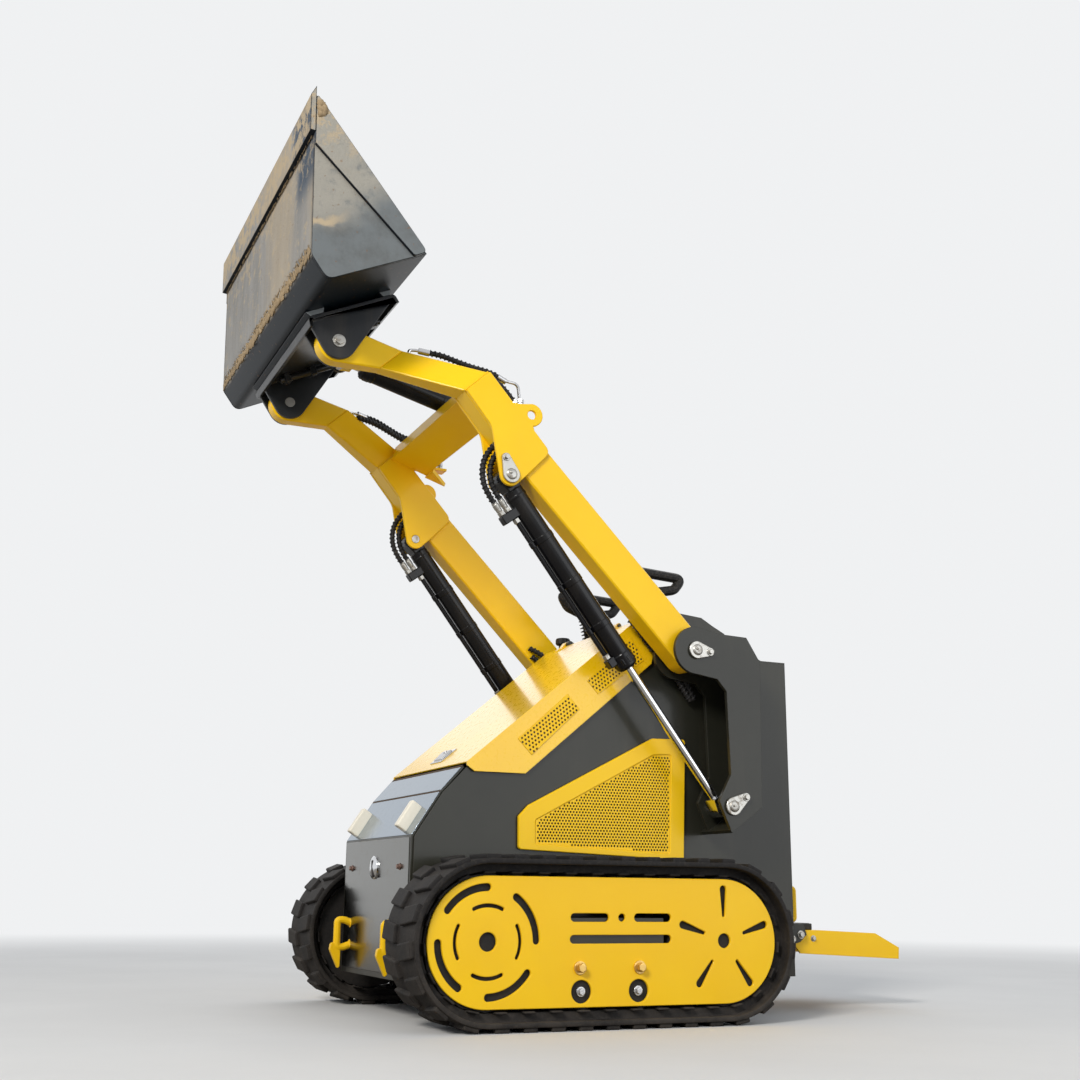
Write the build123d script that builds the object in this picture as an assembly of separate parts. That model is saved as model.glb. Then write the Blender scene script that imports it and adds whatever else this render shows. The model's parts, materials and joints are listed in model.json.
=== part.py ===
# Mini track loader: a stand-on loader on two rubber tracks, with its arm raised and its bucket
# rolled back. X points forward, Y to the machine's left and Z up, all in millimetres.
# The pieces are drawn with X = 0 midway between the track hubs and the ground at Z = 0. At the
# end they all move along X, so that the origin stands on the ground under the middle of it all.
from build123d import *
from math import atan2, cos, degrees, hypot, pi, radians, sin, tan
import os


def near(point, dx, dz):
    # A side view point, X and Z, at a distance from another
    return point[0] + dx, point[1] + dz


# Overall and shared sizes
machine_width = 1120
pin_radius = 15
pin_flats = 12
pin_clearance = 0.25
moving_gap = 6
sheet = 6

# Tracks: the belt's pitch line goes round two hubs, so its length is a whole number of pitches
lug_pitch = 72
lugs_round_hub = 15
lugs_between_hubs = 9
track_width = 216
belt_thickness = 24
lug_height = 19
lug_length = 38
lug_slope = 5
lug_root = 4
drive_lug_length = 30
drive_lug_height = 24
drive_lug_width = 44
hub_spacing = lugs_between_hubs * lug_pitch
pitch_radius = lugs_round_hub * lug_pitch / (2 * pi)
belt_inner_radius = pitch_radius - belt_thickness / 2
belt_outer_radius = pitch_radius + belt_thickness / 2
hub_z = belt_outer_radius + lug_height
front_hub_x = hub_spacing / 2
rear_hub_x = -hub_spacing / 2
track_outer_y = machine_width / 2
track_inner_y = track_outer_y - track_width
track_middle_y = (track_outer_y + track_inner_y) / 2
belt_bottom_z = hub_z - belt_inner_radius

# Guard plate over the running gear
guard_inset = 28
guard_thickness = 8
guard_rim_gap = 8
guard_outer_y = track_outer_y - guard_inset
guard_inner_y = guard_outer_y - guard_thickness
outer_slot_radius = 129
outer_slot_width = 12
outer_slot_span = 54
outer_slot_start = 28
inner_slot_radius = 86
inner_slot_width = 8
inner_slot_span = 52
spoke_slots = 5
spoke_slot_from = 59
spoke_slot_to = 127
spoke_slot_widths = (8, 16)
slot_chords = 4
hole_flats = 12
long_slot_width = 20
long_slots = ((-2, 96, 56), (-173, -77, 56), (-173, 98, 5))
front_hub_hole = 22
rear_hub_hole = 18
grease_hole = 9
grease_hole_x = -40

# Running gear behind the guard plate, drawn with flats because little of it shows
wheel_flats = 16
roller_flats = 8
roller_x = (71, -86)
roller_radius = 44
roller_hole_radius = 23
roller_core_radius = 16
wheel_gap = 6
wheel_tread = 42
wheel_web_radius = 122
hub_radius = 52
axle_width = 80
beam_half_width = 60
tube_rise = 10
tooth_width = 16
tooth_clearance = 2
beam_height = 95
beam_drop = 40
beam_wheel_gap = 12
cross_tube_size = 60
cross_tube_x = (-105, 90)

# Body
wall_outer_y = 290
body_bottom_z = 98
nose_x = 437
nose_top_z = 453
rear_x = -706
deck_z = 974
nose_top = (nose_x, nose_top_z)
slope_break = near(nose_top, -75, 115)
cowl_top = near(slope_break, -60, 67)
deck_rear = (rear_x, deck_z)
deck_break = near(deck_rear, 83, 0)
engine_half_width = 190
engine_x = (-150, 240)
engine_height = 456
wall_top_drop = 8
wall_corner_drop = 4
deck_slope_length = 143

# Hood
hood_front = near(cowl_top, -5, 9)
hood_rear = near(deck_rear, 506, 84)
hood_sheet = 4
hood_flange_gap = 6
hood_to_deck = 14
hinge_reach = 11
hinge_radius = 8
hinge_pin_radius = 5
hinge_lug_y = (140, 158)
hood_lug_y = (159, 185)
deck_lug_reach = (8, 36)
hood_lug_reach = (2, 34)
lug_bite = 1
hood_flange_depth = 15
hood_flange_front = (near(cowl_top, -5, 0), near(cowl_top, -27, -hood_flange_depth),
                     near(cowl_top, -171, -hood_flange_depth))
hood_flange_rear = (near(hood_rear, -50, -117), near(hood_rear, -62, -68))
latch_along = 60
latch_size = (70, 50)
latch_corner = 8
latch_height = 10

# Side grille
grille_depth = 12
mesh_depth = 4
grille_foot = (148, 425)
grille_outline = ((-250, 732), (-354, 735), (-344, 406), grille_foot, near(grille_foot, 1, 85),
                  near(grille_foot, -27, 114))
mesh_outline = ((-253, 687), (-308, 690), (-300, 423), near(grille_foot, -47, 15),
                near(grille_foot, -47, 76))

# Arm pivot and towers
pivot_x = -310
pivot_z = 962
pivot = (pivot_x, pivot_z)
tower_plate = 12
tower_inner_y = 318
tower_round = 65
tower_web = 10
arm_inner_y = 336
arm_outer_y = 426
tower_outer_y = arm_outer_y + moving_gap + tower_plate
arm_mid_y = (arm_inner_y + arm_outer_y) / 2
keeper_thickness = 8
keeper_radius = 24
keeper_nose_radius = 12
pivot_keeper_bolt = near(pivot, -40, -3)
upper_keeper_reach = (16, 45)
lower_keeper_reach = (-38, 25)

# Arm, measured from its pivot with the arm raised
arm_end_radius = 52
overlay_plate = 10
knee_upper = near(pivot, 433, 510)
knee_lower = near(pivot, 503, 435)
elbow_upper = near(pivot, 615, 714)
elbow_lower = near(pivot, 681, 650)
tip_upper = near(pivot, 815, 789)
tip_lower = near(pivot, 879, 727)
tip_pivot = near(pivot, 1001, 780)
tip_radius = 54
tip_mid_y = 262
tip_width = 44
gusset_front = near(pivot, 606, 559)
gusset_radius = 30
lug_hole = near(pivot, 489, 609)
lug_hole_radius = 12.5
lug_radius = 32
lug_roots = (near(lug_hole, -11, -71), near(lug_hole, 83, 57))

# Cross-member between the arms
cross_front = near(pivot, 642, 681)
cross_rear = near(pivot, 524, 644)
cross_depth = 44
corner_gusset = 70
corner_gusset_thickness = 12
corner_gusset_rise = 4
ear_feet = (12, 124)
ear_brow = (96, 36)
ear_bite = 2

# Lift cylinders, from the arm down to the tower
lift_upper = near(pivot, 550, 431)
lift_lower = (-415, 546)
tower_back = (near(pivot, -162, 48), near(pivot, -205, -19), near(lift_lower, -93, -1),
              near(lift_lower, 4, -70))
tower_front = (near(lift_lower, 41, 13), near(lift_lower, 3, 85), near(pivot, -94, -107),
               near(pivot, -66, -75), near(pivot, 21, -62))
tower_top = (near(pivot, -20, 62), near(pivot, -76, 51))
lift_barrel_length = 611
lift_barrel_radius = 29
lift_rod_radius = 12.5
lift_rod_length = 560
lift_eye_width = 50
lift_eye_radius = 27
pipe_radius = 7
pipe_offset = 39
pipe_from = 92
pipe_end_margin = 39
pipe_to = lift_barrel_length - pipe_end_margin
port_size = 26
port_root = 18
neck_length = 8
barrel_floor = 10
barrel_neck_half = 20
rod_neck_wall = 4
hose_offsets = (45, 66)
fitting_radius = 10
fitting_length = 40
pipe_end_depth = 49
hose_radius = 7
hose_first_runs = (34, 38)
hose_bends = (((43, 6), (38, 46)), ((64, -3), (62, 40)))

# Tilt cylinder, from the cross-member to the quick-attach plate
tilt_rear = near(pivot, 542, 754)
tilt_front = near(pivot, 908, 850)
tilt_barrel_radius = 30
tilt_barrel_length = 320
tilt_rod_radius = 14
tilt_rod_length = 322
tilt_barrel_eye_width = 2 * tilt_barrel_radius + 2
tilt_rod_eye_width = 40
tilt_eye_radius = 26
tilt_ear_radius = 28
ear_gap = 3
ear_plate = 12
rod_slack = 0.5
pin_end_gap = 0.3

# Bucket, measured from the pivot at the arm's tip
bucket_tip = near(tip_pivot, 158, 566)
bucket_heel_front = near(tip_pivot, 146, 116)
bucket_heel_rear = near(tip_pivot, 102, 57)
bucket_lip = near(tip_pivot, -158, 182)
bucket_half_width = 545
bucket_sheet = 8
cutter_along = 145
cutter_lip = 40
cutter_thickness = 10
edge_thickness = 14
edge_width = 130
edge_reach = 18
hook_places = ((4, 60), (225, 262))
hook_slope = 8

# Quick-attach plate on the bucket's back
attach_half_width = 310
attach_plate_thickness = 10
attach_gap = 14
attach_from = 6
attach_to = 268
attach_flange = 16
attach_ear = 10
attach_ear_gap = 4
attach_flange_lean = 4
arm_ear_radius = 44
arm_ear_feet = (30, 190)
rod_ear_radius = 28
rod_ear_feet = (120, 246)
pin_head_radius = 24
pin_head_height = 11
rod_head_radius = 20
rod_head_height = 8

# Operator platform, measured from its own pivot
platform_half_width = 225
platform_pivot = near(deck_rear, -54, -766)
platform_pin_radius = 8
platform_sheet = 6
bracket_gap = 4
bracket_plate = 10
platform_deck = (near(platform_pivot, 18, 12), near(platform_pivot, -72, 12),
                 near(platform_pivot, -272, 3), near(platform_pivot, -356, -38))
platform_foot = (near(platform_pivot, -353, -70), near(platform_pivot, -7, -52),
                 near(platform_pivot, 16, -24))
platform_pin_end = 8
bracket_rise = 30
bracket_drop = 33
mat_half_width = 200
mat_height = 18
mat_gap = 5

# Tie-down loops of round bar
tie_radius = 10
tie_bend = 14
front_tie_y = 210
front_tie_z = (165, 238)
front_tie_reach = 38
rear_tie_y = 252
rear_tie_z = (252, 333)
rear_tie_reach = 22
tie_tab_width = 44
tie_tab_foot_z = 114
tie_tab_thickness = 6

# Console and levers
console_half_width = 250
console_depth = 180
console_overlap = 50
lever_y = 200
lever_tube_radius = 11
grip_leg_spread = 12
grip_leg_height = 14
grip_bend = 16
grip_corners = ((70, 26), (92, 64), (-112, 52), (-84, 20))
lever_foot = 29
lever_lean = (20, 63)
bellows_rib_count = 3
bellows_flats = 8
bellows_radius = 36
bellows_taper = 14
bellows_fold = 8
bellows_bite = 1

# Lamps, panel lock and fuel cap
lamp_along = 68
lamp_y = 165
lamp_size = (92, 58)
lamp_corner = 7
lamp_depth = 28
lock_radius = 14
lock_height = 8
lock_z = 378
panel_bolt_y = 208
panel_bolt_radius = 9
panel_bolt_height = 6
cap_from_hood = 34
cap_y = 250
neck_radius = 13
neck_height = 30
cap_radius = 22
cap_height = 20


def side_face(points):
    # A face in the side view, whose points are X and Z
    return make_face(Polyline(*points, close=True))


def across(face, y_from, y_to):
    # A side view face made into a solid between two Y
    return extrude(Plane.XZ.offset(-y_from) * face, amount=y_from - y_to)


def disc(centre, radius, y_from, y_to):
    # A round bar or disc across the machine
    return across(Pos(*centre) * Circle(radius), y_from, y_to)


def flat_disc(centre, radius, flats, y_from, y_to):
    return across(Pos(*centre) * RegularPolygon(radius, flats), y_from, y_to)


def hinge_pin(centre, middle_y, length):
    # A pin drawn with flats, because only its ends are ever seen
    return flat_disc(centre, pin_radius, pin_flats, middle_y - length / 2, middle_y + length / 2)


def box_between(low, high):
    size = [b - a for a, b in zip(low, high)]
    return Pos(*low) * Box(*size, align=(Align.MIN, Align.MIN, Align.MIN))


def mirrored(shape):
    return mirror(shape, about=Plane.XZ)


def both_sides(*shapes):
    return [*shapes] + [mirrored(shape) for shape in shapes]


def direction(start, end):
    # Unit vector from one point of the side view to another
    length = hypot(end[0] - start[0], end[1] - start[1])
    return (end[0] - start[0]) / length, (end[1] - start[1]) / length


def from_line(start, end, along_it, off_it):
    # A point beside the line between two points: along it, and off it to its left
    ux, uz = direction(start, end)
    return start[0] + ux * along_it - uz * off_it, start[1] + uz * along_it + ux * off_it


def beside(points, distance):
    # An open path moved to its left by a distance, with mitred corners
    moved = []
    for i, (x, z) in enumerate(points):
        arriving = direction(points[i - 1], points[i]) if i else None
        leaving = direction(points[i], points[i + 1]) if i + 1 < len(points) else None
        arriving = arriving or leaving
        leaving = leaving or arriving
        normal_x = -(arriving[1] + leaving[1])
        normal_z = arriving[0] + leaving[0]
        scale = 2 * distance / (normal_x ** 2 + normal_z ** 2)
        moved.append((x + normal_x * scale, z + normal_z * scale))
    return moved


def folded_sheet(path, thickness, y_from, y_to):
    # Sheet metal folded along a side view path, with its thickness to the left of the path
    outline = list(path) + beside(path, thickness)[::-1]
    return across(side_face(outline), y_from, y_to)


def hull_face(centre, radius, points):
    # A round end joined by its tangents to the corners of a plate
    edges = [Pos(*centre) * edge for edge in Circle(radius).edges()]
    return make_hull(edges + Polyline(*points).edges())


def bent_bar(points, radius, bends):
    # Bar along a route, with eight flats and with a short straight piece across each wide bend
    route = [Vector(*points[0])]
    for before, corner, after, bend in zip(points, points[1:], points[2:], bends):
        for other in (before, after) if bend else (after,):
            route.append(Vector(*corner) + (Vector(*other) - Vector(*corner)).normalized() * bend)
    path = Polyline(*route, Vector(*points[-1]))
    start = Plane(origin=path @ 0, z_dir=path % 0) * RegularPolygon(radius, 8)
    return sweep(start, path=path, transition=Transition.RIGHT)


# Tracks

def belt_place(distance):
    # Place on the belt's pitch line at a distance along it: X, Z and the outward angle
    bend = pi * pitch_radius
    distance %= 2 * (hub_spacing + bend)
    if distance < hub_spacing:
        return rear_hub_x + distance, hub_z + pitch_radius, 90
    distance -= hub_spacing
    hub_x, angle = front_hub_x, 90
    if distance > bend:
        distance -= bend
        if distance < hub_spacing:
            return front_hub_x - distance, hub_z - pitch_radius, -90
        distance -= hub_spacing
        hub_x, angle = rear_hub_x, -90
    angle -= degrees(distance / pitch_radius)
    return (hub_x + pitch_radius * cos(radians(angle)),
            hub_z + pitch_radius * sin(radians(angle)), angle)


def lug_blocks(length, low, high, taper, start):
    # Side view blocks on the belt at every pitch, from one height over the pitch line to another
    blocks = []
    for i in range(2 * lugs_between_hubs + lugs_round_hub):
        x, z, angle = belt_place(start + i * lug_pitch)
        block = Polygon((low, -length / 2), (high, taper - length / 2),
                        (high, length / 2 - taper), (low, length / 2), align=None)
        blocks.append(Pos(x, z) * Rot(0, 0, angle) * block)
    return blocks


def belt_face(radius):
    return Pos(0, hub_z) * SlotCenterToCenter(hub_spacing, 2 * radius)


def track():
    # The ground lugs stand in two lanes, half a pitch apart, and the drive lugs along the middle
    half = belt_thickness / 2
    ring = belt_face(belt_outer_radius) - belt_face(belt_inner_radius)
    lane_width = track_width / 2
    pieces = []
    for lane in range(2):
        shift = lane * lug_pitch / 2
        lugs = lug_blocks(lug_length, half - lug_root, half + lug_height, lug_slope, shift)
        y = track_inner_y + lane * lane_width
        pieces.append(across(ring + lugs, y, y + lane_width))
    lug_y = (track_middle_y - drive_lug_width / 2, track_middle_y + drive_lug_width / 2)
    for lug in lug_blocks(drive_lug_length, -half - drive_lug_height, lug_root - half, 0, 0):
        pieces.append(across(lug, *lug_y))
    return Part() + pieces


# Guard plate

def blunt(length, width):
    # A slot with cut corners, which stand for its round ends
    slot = Rectangle(length, width)
    return chamfer(slot.vertices(), width * (1 - tan(pi / 8)) / 2)


def round_hub(radius, angle):
    # A point about a hub's centre
    return radius * cos(radians(angle)), radius * sin(radians(angle))


def arc_slot(radius, width, start, span):
    # A slot along an arc about a hub, drawn in short chords, with its ends cut to a blunt point
    half = width / 2
    angles = [start + span * step / slot_chords for step in range(slot_chords + 1)]
    beyond = degrees(half / radius)
    outer = [round_hub(radius + half, angle) for angle in angles]
    inner = [round_hub(radius - half, angle) for angle in reversed(angles)]
    ends = [round_hub(radius, start + span + beyond), round_hub(radius, start - beyond)]
    return make_face(Polyline(*outer, ends[0], *inner, ends[1], close=True))


def guard_plate():
    # Yellow cover plate, with four arc slots in two rings at the front and five spokes at the rear
    cuts = []
    rings = ((outer_slot_radius, outer_slot_width, outer_slot_span, outer_slot_start),
             (inner_slot_radius, inner_slot_width, inner_slot_span, 0))
    for radius, width, span, first in rings:
        for turn in range(4):
            start = 180 - first - 90 * turn - span / 2
            cuts.append(Pos(front_hub_x, hub_z) * arc_slot(radius, width, start, span))
    near_half, far_half = (width / 2 for width in spoke_slot_widths)
    for turn in range(spoke_slots):
        spoke = Polygon((spoke_slot_from, -near_half), (spoke_slot_to, -far_half),
                        (spoke_slot_to, far_half), (spoke_slot_from, near_half), align=None)
        spoke = chamfer(spoke.vertices(), near_half / 2)
        cuts.append(Pos(rear_hub_x, hub_z) * Rot(0, 0, 90 + turn * 360 / spoke_slots) * spoke)
    for x_from, x_to, z in long_slots:
        cuts.append(Pos((x_from + x_to) / 2, hub_z + z) * blunt(x_to - x_from, long_slot_width))
    holes = [(front_hub_x, hub_z, front_hub_hole), (rear_hub_x, hub_z, rear_hub_hole),
             (grease_hole_x, hub_z + long_slots[0][2], grease_hole)]
    holes += [(x, belt_bottom_z + roller_radius, roller_hole_radius) for x in roller_x]
    cuts += [Pos(x, z) * RegularPolygon(radius, hole_flats) for x, z, radius in holes]
    face = belt_face(belt_inner_radius - guard_rim_gap)
    for cut in cuts:
        face -= cut
    return across(face, guard_inner_y, guard_outer_y)


# Running gear

def track_beam():
    # Box beam behind the guard plate, with the cross tubes that carry it on the body
    low_z = hub_z - beam_drop
    rear_x_at = rear_hub_x + belt_inner_radius + beam_wheel_gap
    front_x_at = front_hub_x - belt_inner_radius - beam_wheel_gap
    beam = box_between((rear_x_at, track_middle_y - beam_half_width, low_z),
                       (front_x_at, guard_inner_y, low_z + beam_height))
    half = cross_tube_size / 2
    middle_z = hub_z + tube_rise
    tubes = [box_between((x - half, wall_outer_y, middle_z - half),
                         (x + half, track_middle_y, middle_z + half)) for x in cross_tube_x]
    return Part() + beam + tubes


def wheel_rims(centre, radius, flats, outer_y):
    # Twin rims that pass on both sides of the drive lugs
    side = drive_lug_width / 2 + wheel_gap
    return [flat_disc(centre, radius, flats, track_middle_y - side - wheel_tread, track_middle_y - side),
            flat_disc(centre, radius, flats, track_middle_y + side, outer_y)]


def sprocket_teeth():
    # Teeth that stand between the drive lugs, half a pitch from them
    root = belt_inner_radius - drive_lug_height - wheel_gap
    tip = belt_inner_radius - tooth_clearance
    face = RegularPolygon(root, wheel_flats)
    for turn in range(lugs_round_hub):
        tooth = Pos((root + tip) / 2 - wheel_gap, 0) * Rectangle(tip - root + wheel_gap, tooth_width)
        face += Rot(0, 0, 90 + (turn + 0.5) * 360 / lugs_round_hub) * tooth
    return Pos(rear_hub_x, hub_z) * face


def running_wheels():
    # Idler in front, toothed drive wheel behind, and two bottom rollers between them
    side = drive_lug_width / 2 + wheel_gap
    web_y = (track_middle_y - side, track_middle_y + side)
    rim_radius = belt_inner_radius - tooth_clearance / 2
    pieces = []
    for x in (front_hub_x, rear_hub_x):
        centre = (x, hub_z)
        outer_y = track_middle_y + side + wheel_tread
        wheel = Part() + wheel_rims(centre, rim_radius, wheel_flats, outer_y)
        wheel += flat_disc(centre, hub_radius, roller_flats, outer_y, guard_inner_y)
        half = axle_width / 2
        wheel += box_between((x - half, wall_outer_y, hub_z - half),
                             (x + half, track_middle_y - side - wheel_tread, hub_z + half))
        if x == rear_hub_x:
            wheel += across(sprocket_teeth(), *web_y)
        else:
            wheel += flat_disc(centre, wheel_web_radius, wheel_flats, *web_y)
        pieces.append(wheel)
    for x in roller_x:
        centre = (x, belt_bottom_z + roller_radius)
        radius = roller_radius - tooth_clearance / 2
        roller = Part() + wheel_rims(centre, radius, roller_flats, guard_inner_y)
        pieces.append(roller + flat_disc(centre, roller_core_radius, roller_flats, *web_y))
    return pieces


# Body

nose_path = [(nose_x, body_bottom_z), nose_top, slope_break, cowl_top]


def below_hood(point, depth):
    # A point under the hood's sloping skin, square to it
    ux, uz = direction(hood_front, hood_rear)
    return point[0] - uz * depth, point[1] + ux * depth


wall_hood_rear = below_hood(hood_rear, hood_sheet + moving_gap + wall_top_drop)
deck_top_z = wall_hood_rear[1] + sheet
deck_high = (near(deck_break, deck_slope_length, 0)[0], deck_top_z)
deck_path = [(rear_x, body_bottom_z), near(deck_rear, 0, sheet), near(deck_break, 0, sheet), deck_high,
             (hood_rear[0] - hood_to_deck, deck_top_z)]
hood_length = hypot(hood_rear[0] - hood_front[0], hood_rear[1] - hood_front[1])
hinge_axis = from_line(hood_front, hood_rear, hood_length + hinge_reach, 0)
console_front = near(deck_high, 112, 55)
console_brow = (console_front, near(console_front, -77, -7), near(console_front, -112, -27),
                near(console_front, -154, -48))


def side_wall():
    inner_nose = beside(nose_path, sheet)
    outline = inner_nose[:3] + [near(inner_nose[3], 0, -wall_corner_drop), wall_hood_rear]
    outline += beside(deck_path, -sheet)[::-1]
    return across(side_face(outline), wall_outer_y - sheet, wall_outer_y)


def nose_panel():
    return folded_sheet(nose_path, sheet, sheet - wall_outer_y, wall_outer_y - sheet)


def rear_panel():
    # Rear wall and deck in one folded sheet, with the two lugs and pins that the hood turns on
    panel = folded_sheet(deck_path, -sheet, sheet - wall_outer_y, wall_outer_y - sheet)
    foot = deck_path[-1]
    roots = [near(foot, -reach, -lug_bite) for reach in deck_lug_reach]
    lug_face = hull_face(hinge_axis, hinge_radius, roots)
    lug = across(lug_face, *hinge_lug_y)
    lug += disc(hinge_axis, hinge_pin_radius, hinge_lug_y[0], hood_lug_y[1] + 3)
    return Part() + panel + both_sides(lug)


def belly_plate():
    return box_between((rear_x + sheet, sheet - wall_outer_y, body_bottom_z),
                       (nose_x - sheet, wall_outer_y - sheet, body_bottom_z + sheet))


def engine_block():
    floor = body_bottom_z + sheet
    return box_between((engine_x[0], -engine_half_width, floor),
                       (engine_x[1], engine_half_width, floor + engine_height))


# Hood

def hood():
    # Sloping skin with a flange down each side, and the lugs behind it that turn on the deck's pins
    flange_y = wall_outer_y + hood_flange_gap
    outline = [hood_front, *hood_flange_front, *hood_flange_rear, hood_rear]
    flange = across(side_face(outline), flange_y, flange_y + hood_sheet)
    top = folded_sheet([hood_rear, hood_front], -hood_sheet, -flange_y, flange_y)
    roots = [from_line(hood_rear, hood_front, reach, -lug_bite) for reach in hood_lug_reach]
    lug = across(hull_face(hinge_axis, hinge_radius, roots), *hood_lug_y)
    lug -= disc(hinge_axis, hinge_pin_radius + pin_clearance, *hood_lug_y)
    return Part() + top + both_sides(flange, lug)


def hood_latch():
    # Paddle latch in the middle of the hood's lower end
    middle = from_line(hood_front, hood_rear, latch_along, 0)
    ux, uz = direction(hood_front, hood_rear)
    plane = Plane(origin=(middle[0], 0, middle[1]), x_dir=(0, 1, 0), z_dir=(uz, 0, -ux))
    paddle = chamfer(Rectangle(*latch_size).vertices(), latch_corner)
    return extrude(plane * paddle, amount=latch_height)


# Side grille

def side_grille():
    # Yellow plate with a recess for its mesh
    outer_y = wall_outer_y + grille_depth
    plate = across(side_face(grille_outline), wall_outer_y, outer_y)
    return plate - across(side_face(mesh_outline), outer_y - mesh_depth, outer_y)


# Towers

def tower():
    # Two upright plates with a web down the back and a closing plate under the cylinder's foot
    face = side_face([*tower_top, *tower_back, *tower_front])
    face += Pos(*pivot) * Circle(tower_round)
    plates = [across(face, y, y + tower_plate) for y in (tower_inner_y, tower_outer_y - tower_plate)]
    back = folded_sheet(tower_back, tower_web, wall_outer_y, tower_outer_y)
    return Part() + plates + back


def tear_keeper(centre, bolt, y_from, y_to):
    # Teardrop keeper plate from a pin to its lock bolt
    length = hypot(bolt[0] - centre[0], bolt[1] - centre[1])
    end = [from_line(centre, bolt, length, side * keeper_nose_radius) for side in (-1, 1)]
    nose = from_line(centre, bolt, length + keeper_nose_radius, 0)
    return across(hull_face(centre, keeper_radius, [end[0], nose, end[1]]), y_from, y_to)


def tower_pins():
    # Arm pivot pin between the plates, and the keepers that hold both pins from outside
    pin = hinge_pin(pivot, arm_mid_y, tower_outer_y - tower_inner_y - 2 * tower_plate)
    outer_y = tower_outer_y + keeper_thickness
    keepers = [tear_keeper(pivot, pivot_keeper_bolt, tower_outer_y, outer_y),
               tear_keeper(lift_lower, near(lift_lower, *lower_keeper_reach), tower_outer_y, outer_y)]
    return both_sides(pin, *keepers)


# Arm

def section(upper, lower, y_from, y_to):
    corners = [(upper[0], y_from, upper[1]), (upper[0], y_to, upper[1]),
               (lower[0], y_to, lower[1]), (lower[0], y_from, lower[1])]
    return make_face(Polyline(*corners, close=True))


def arm():
    # Box beam with overlay plates about the knee, then a slanting box to the narrower tip
    beam_y = (arm_inner_y + overlay_plate, arm_outer_y - overlay_plate)
    plate_y = ((arm_inner_y, beam_y[0]), (beam_y[1], arm_outer_y))
    tip_y = (tip_mid_y - tip_width / 2, tip_mid_y + tip_width / 2)
    solid = across(hull_face(pivot, arm_end_radius, [knee_upper, knee_lower]), *beam_y)
    solid += across(side_face([knee_upper, elbow_upper, elbow_lower, knee_lower]), *beam_y)
    ends = [section(elbow_upper, elbow_lower, *beam_y), section(tip_upper, tip_lower, *tip_y)]
    solid += loft(ends, ruled=True)
    solid += across(hull_face(tip_pivot, tip_radius, [tip_upper, tip_lower]), *tip_y)
    overlay = side_face([knee_upper, elbow_upper, elbow_lower, gusset_front, knee_lower])
    overlay += hull_face(lift_upper, gusset_radius, [knee_lower, gusset_front])
    for y_from, y_to in plate_y:
        solid += across(overlay, y_from, y_to)
    solid += across(hull_face(lug_hole, lug_radius, lug_roots), *plate_y[1])
    for centre in (pivot, tip_pivot):
        solid -= disc(centre, pin_radius + pin_clearance, 0, machine_width)
    return solid - disc(lug_hole, lug_hole_radius, 0, machine_width)


def cross_member():
    # Box between the arms, with a corner gusset at each end and two ears for the tilt cylinder
    beam_y = arm_inner_y + overlay_plate
    tube = folded_sheet([cross_rear, cross_front], cross_depth, -arm_inner_y, arm_inner_y)
    ux, uz = direction(cross_rear, cross_front)
    foot = from_line(cross_rear, cross_front, 0, corner_gusset_rise)
    corner_plane = Plane(origin=(foot[0], 0, foot[1]), x_dir=(0, 1, 0), z_dir=(-uz, 0, ux))
    corner = Polygon((arm_inner_y, 0), (arm_inner_y - corner_gusset, 0), (arm_inner_y, corner_gusset),
                     align=None)
    corner = extrude(corner_plane * corner, amount=corner_gusset_thickness)
    half = tilt_barrel_eye_width / 2 + ear_gap
    feet = [from_line(cross_rear, cross_front, reach, cross_depth - ear_bite) for reach in ear_feet]
    brow = from_line(cross_rear, cross_front, ear_brow[0], cross_depth + ear_brow[1])
    ear = across(hull_face(tilt_rear, tilt_ear_radius, [*feet, brow]), half, half + ear_plate)
    return Part() + tube + both_sides(corner, ear)


def arm_pins():
    # Keepers of the lift cylinders' upper pins
    keeper = tear_keeper(lift_upper, near(lift_upper, *upper_keeper_reach), arm_outer_y,
                         arm_outer_y + keeper_thickness)
    return both_sides(keeper)


# Cylinders

def along(start, end, radius, distance_from, distance_to, y=0, offset=0, flats=0):
    # A bar along the line between two side view points, from one distance to another
    ux, uz = direction(start, end)
    x, z = from_line(start, end, distance_from, offset)
    shape = RegularPolygon(radius, flats) if flats else Circle(radius)
    plane = Plane(origin=(x, y, z), z_dir=(ux, 0, uz))
    return extrude(plane * shape, amount=distance_to - distance_from)


def pin_eye(centre, towards, radius, neck, half_height, width, y):
    # An eye whose neck ends in a flat, square to the line on which the bar is joined to it
    corners = [from_line(centre, towards, neck, side * half_height) for side in (-1, 1)]
    return across(hull_face(centre, radius, corners), y - width / 2, y + width / 2)


def cylinder_barrel(start, end, radius, length, eye_radius, eye_width, rod_radius, y, pin_length):
    # Barrel bored for the rod, with its eye and the pin that it turns on
    neck = eye_radius + neck_length
    barrel = along(start, end, radius, neck, length, y)
    bore_radius = (rod_radius + rod_slack) / cos(pi / pin_flats)
    barrel -= along(start, end, bore_radius, neck + barrel_floor, length + 1, y, 0, pin_flats)
    barrel += pin_eye(start, end, eye_radius, neck, barrel_neck_half, eye_width, y)
    return barrel + hinge_pin(start, y, pin_length)


def cylinder_rod(start, end, rod_radius, rod_length, eye_radius, eye_width, y, pin_length):
    # Rod with its eye, which carries the middle of its own pin because it drifts as the arm moves
    reach = hypot(end[0] - start[0], end[1] - start[1])
    neck = eye_radius + neck_length
    rod = along(start, end, rod_radius, reach - rod_length, reach - neck, y)
    rod += pin_eye(end, start, eye_radius, neck, rod_radius + rod_neck_wall, eye_width, y)
    return rod + hinge_pin(end, y, pin_length)


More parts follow.
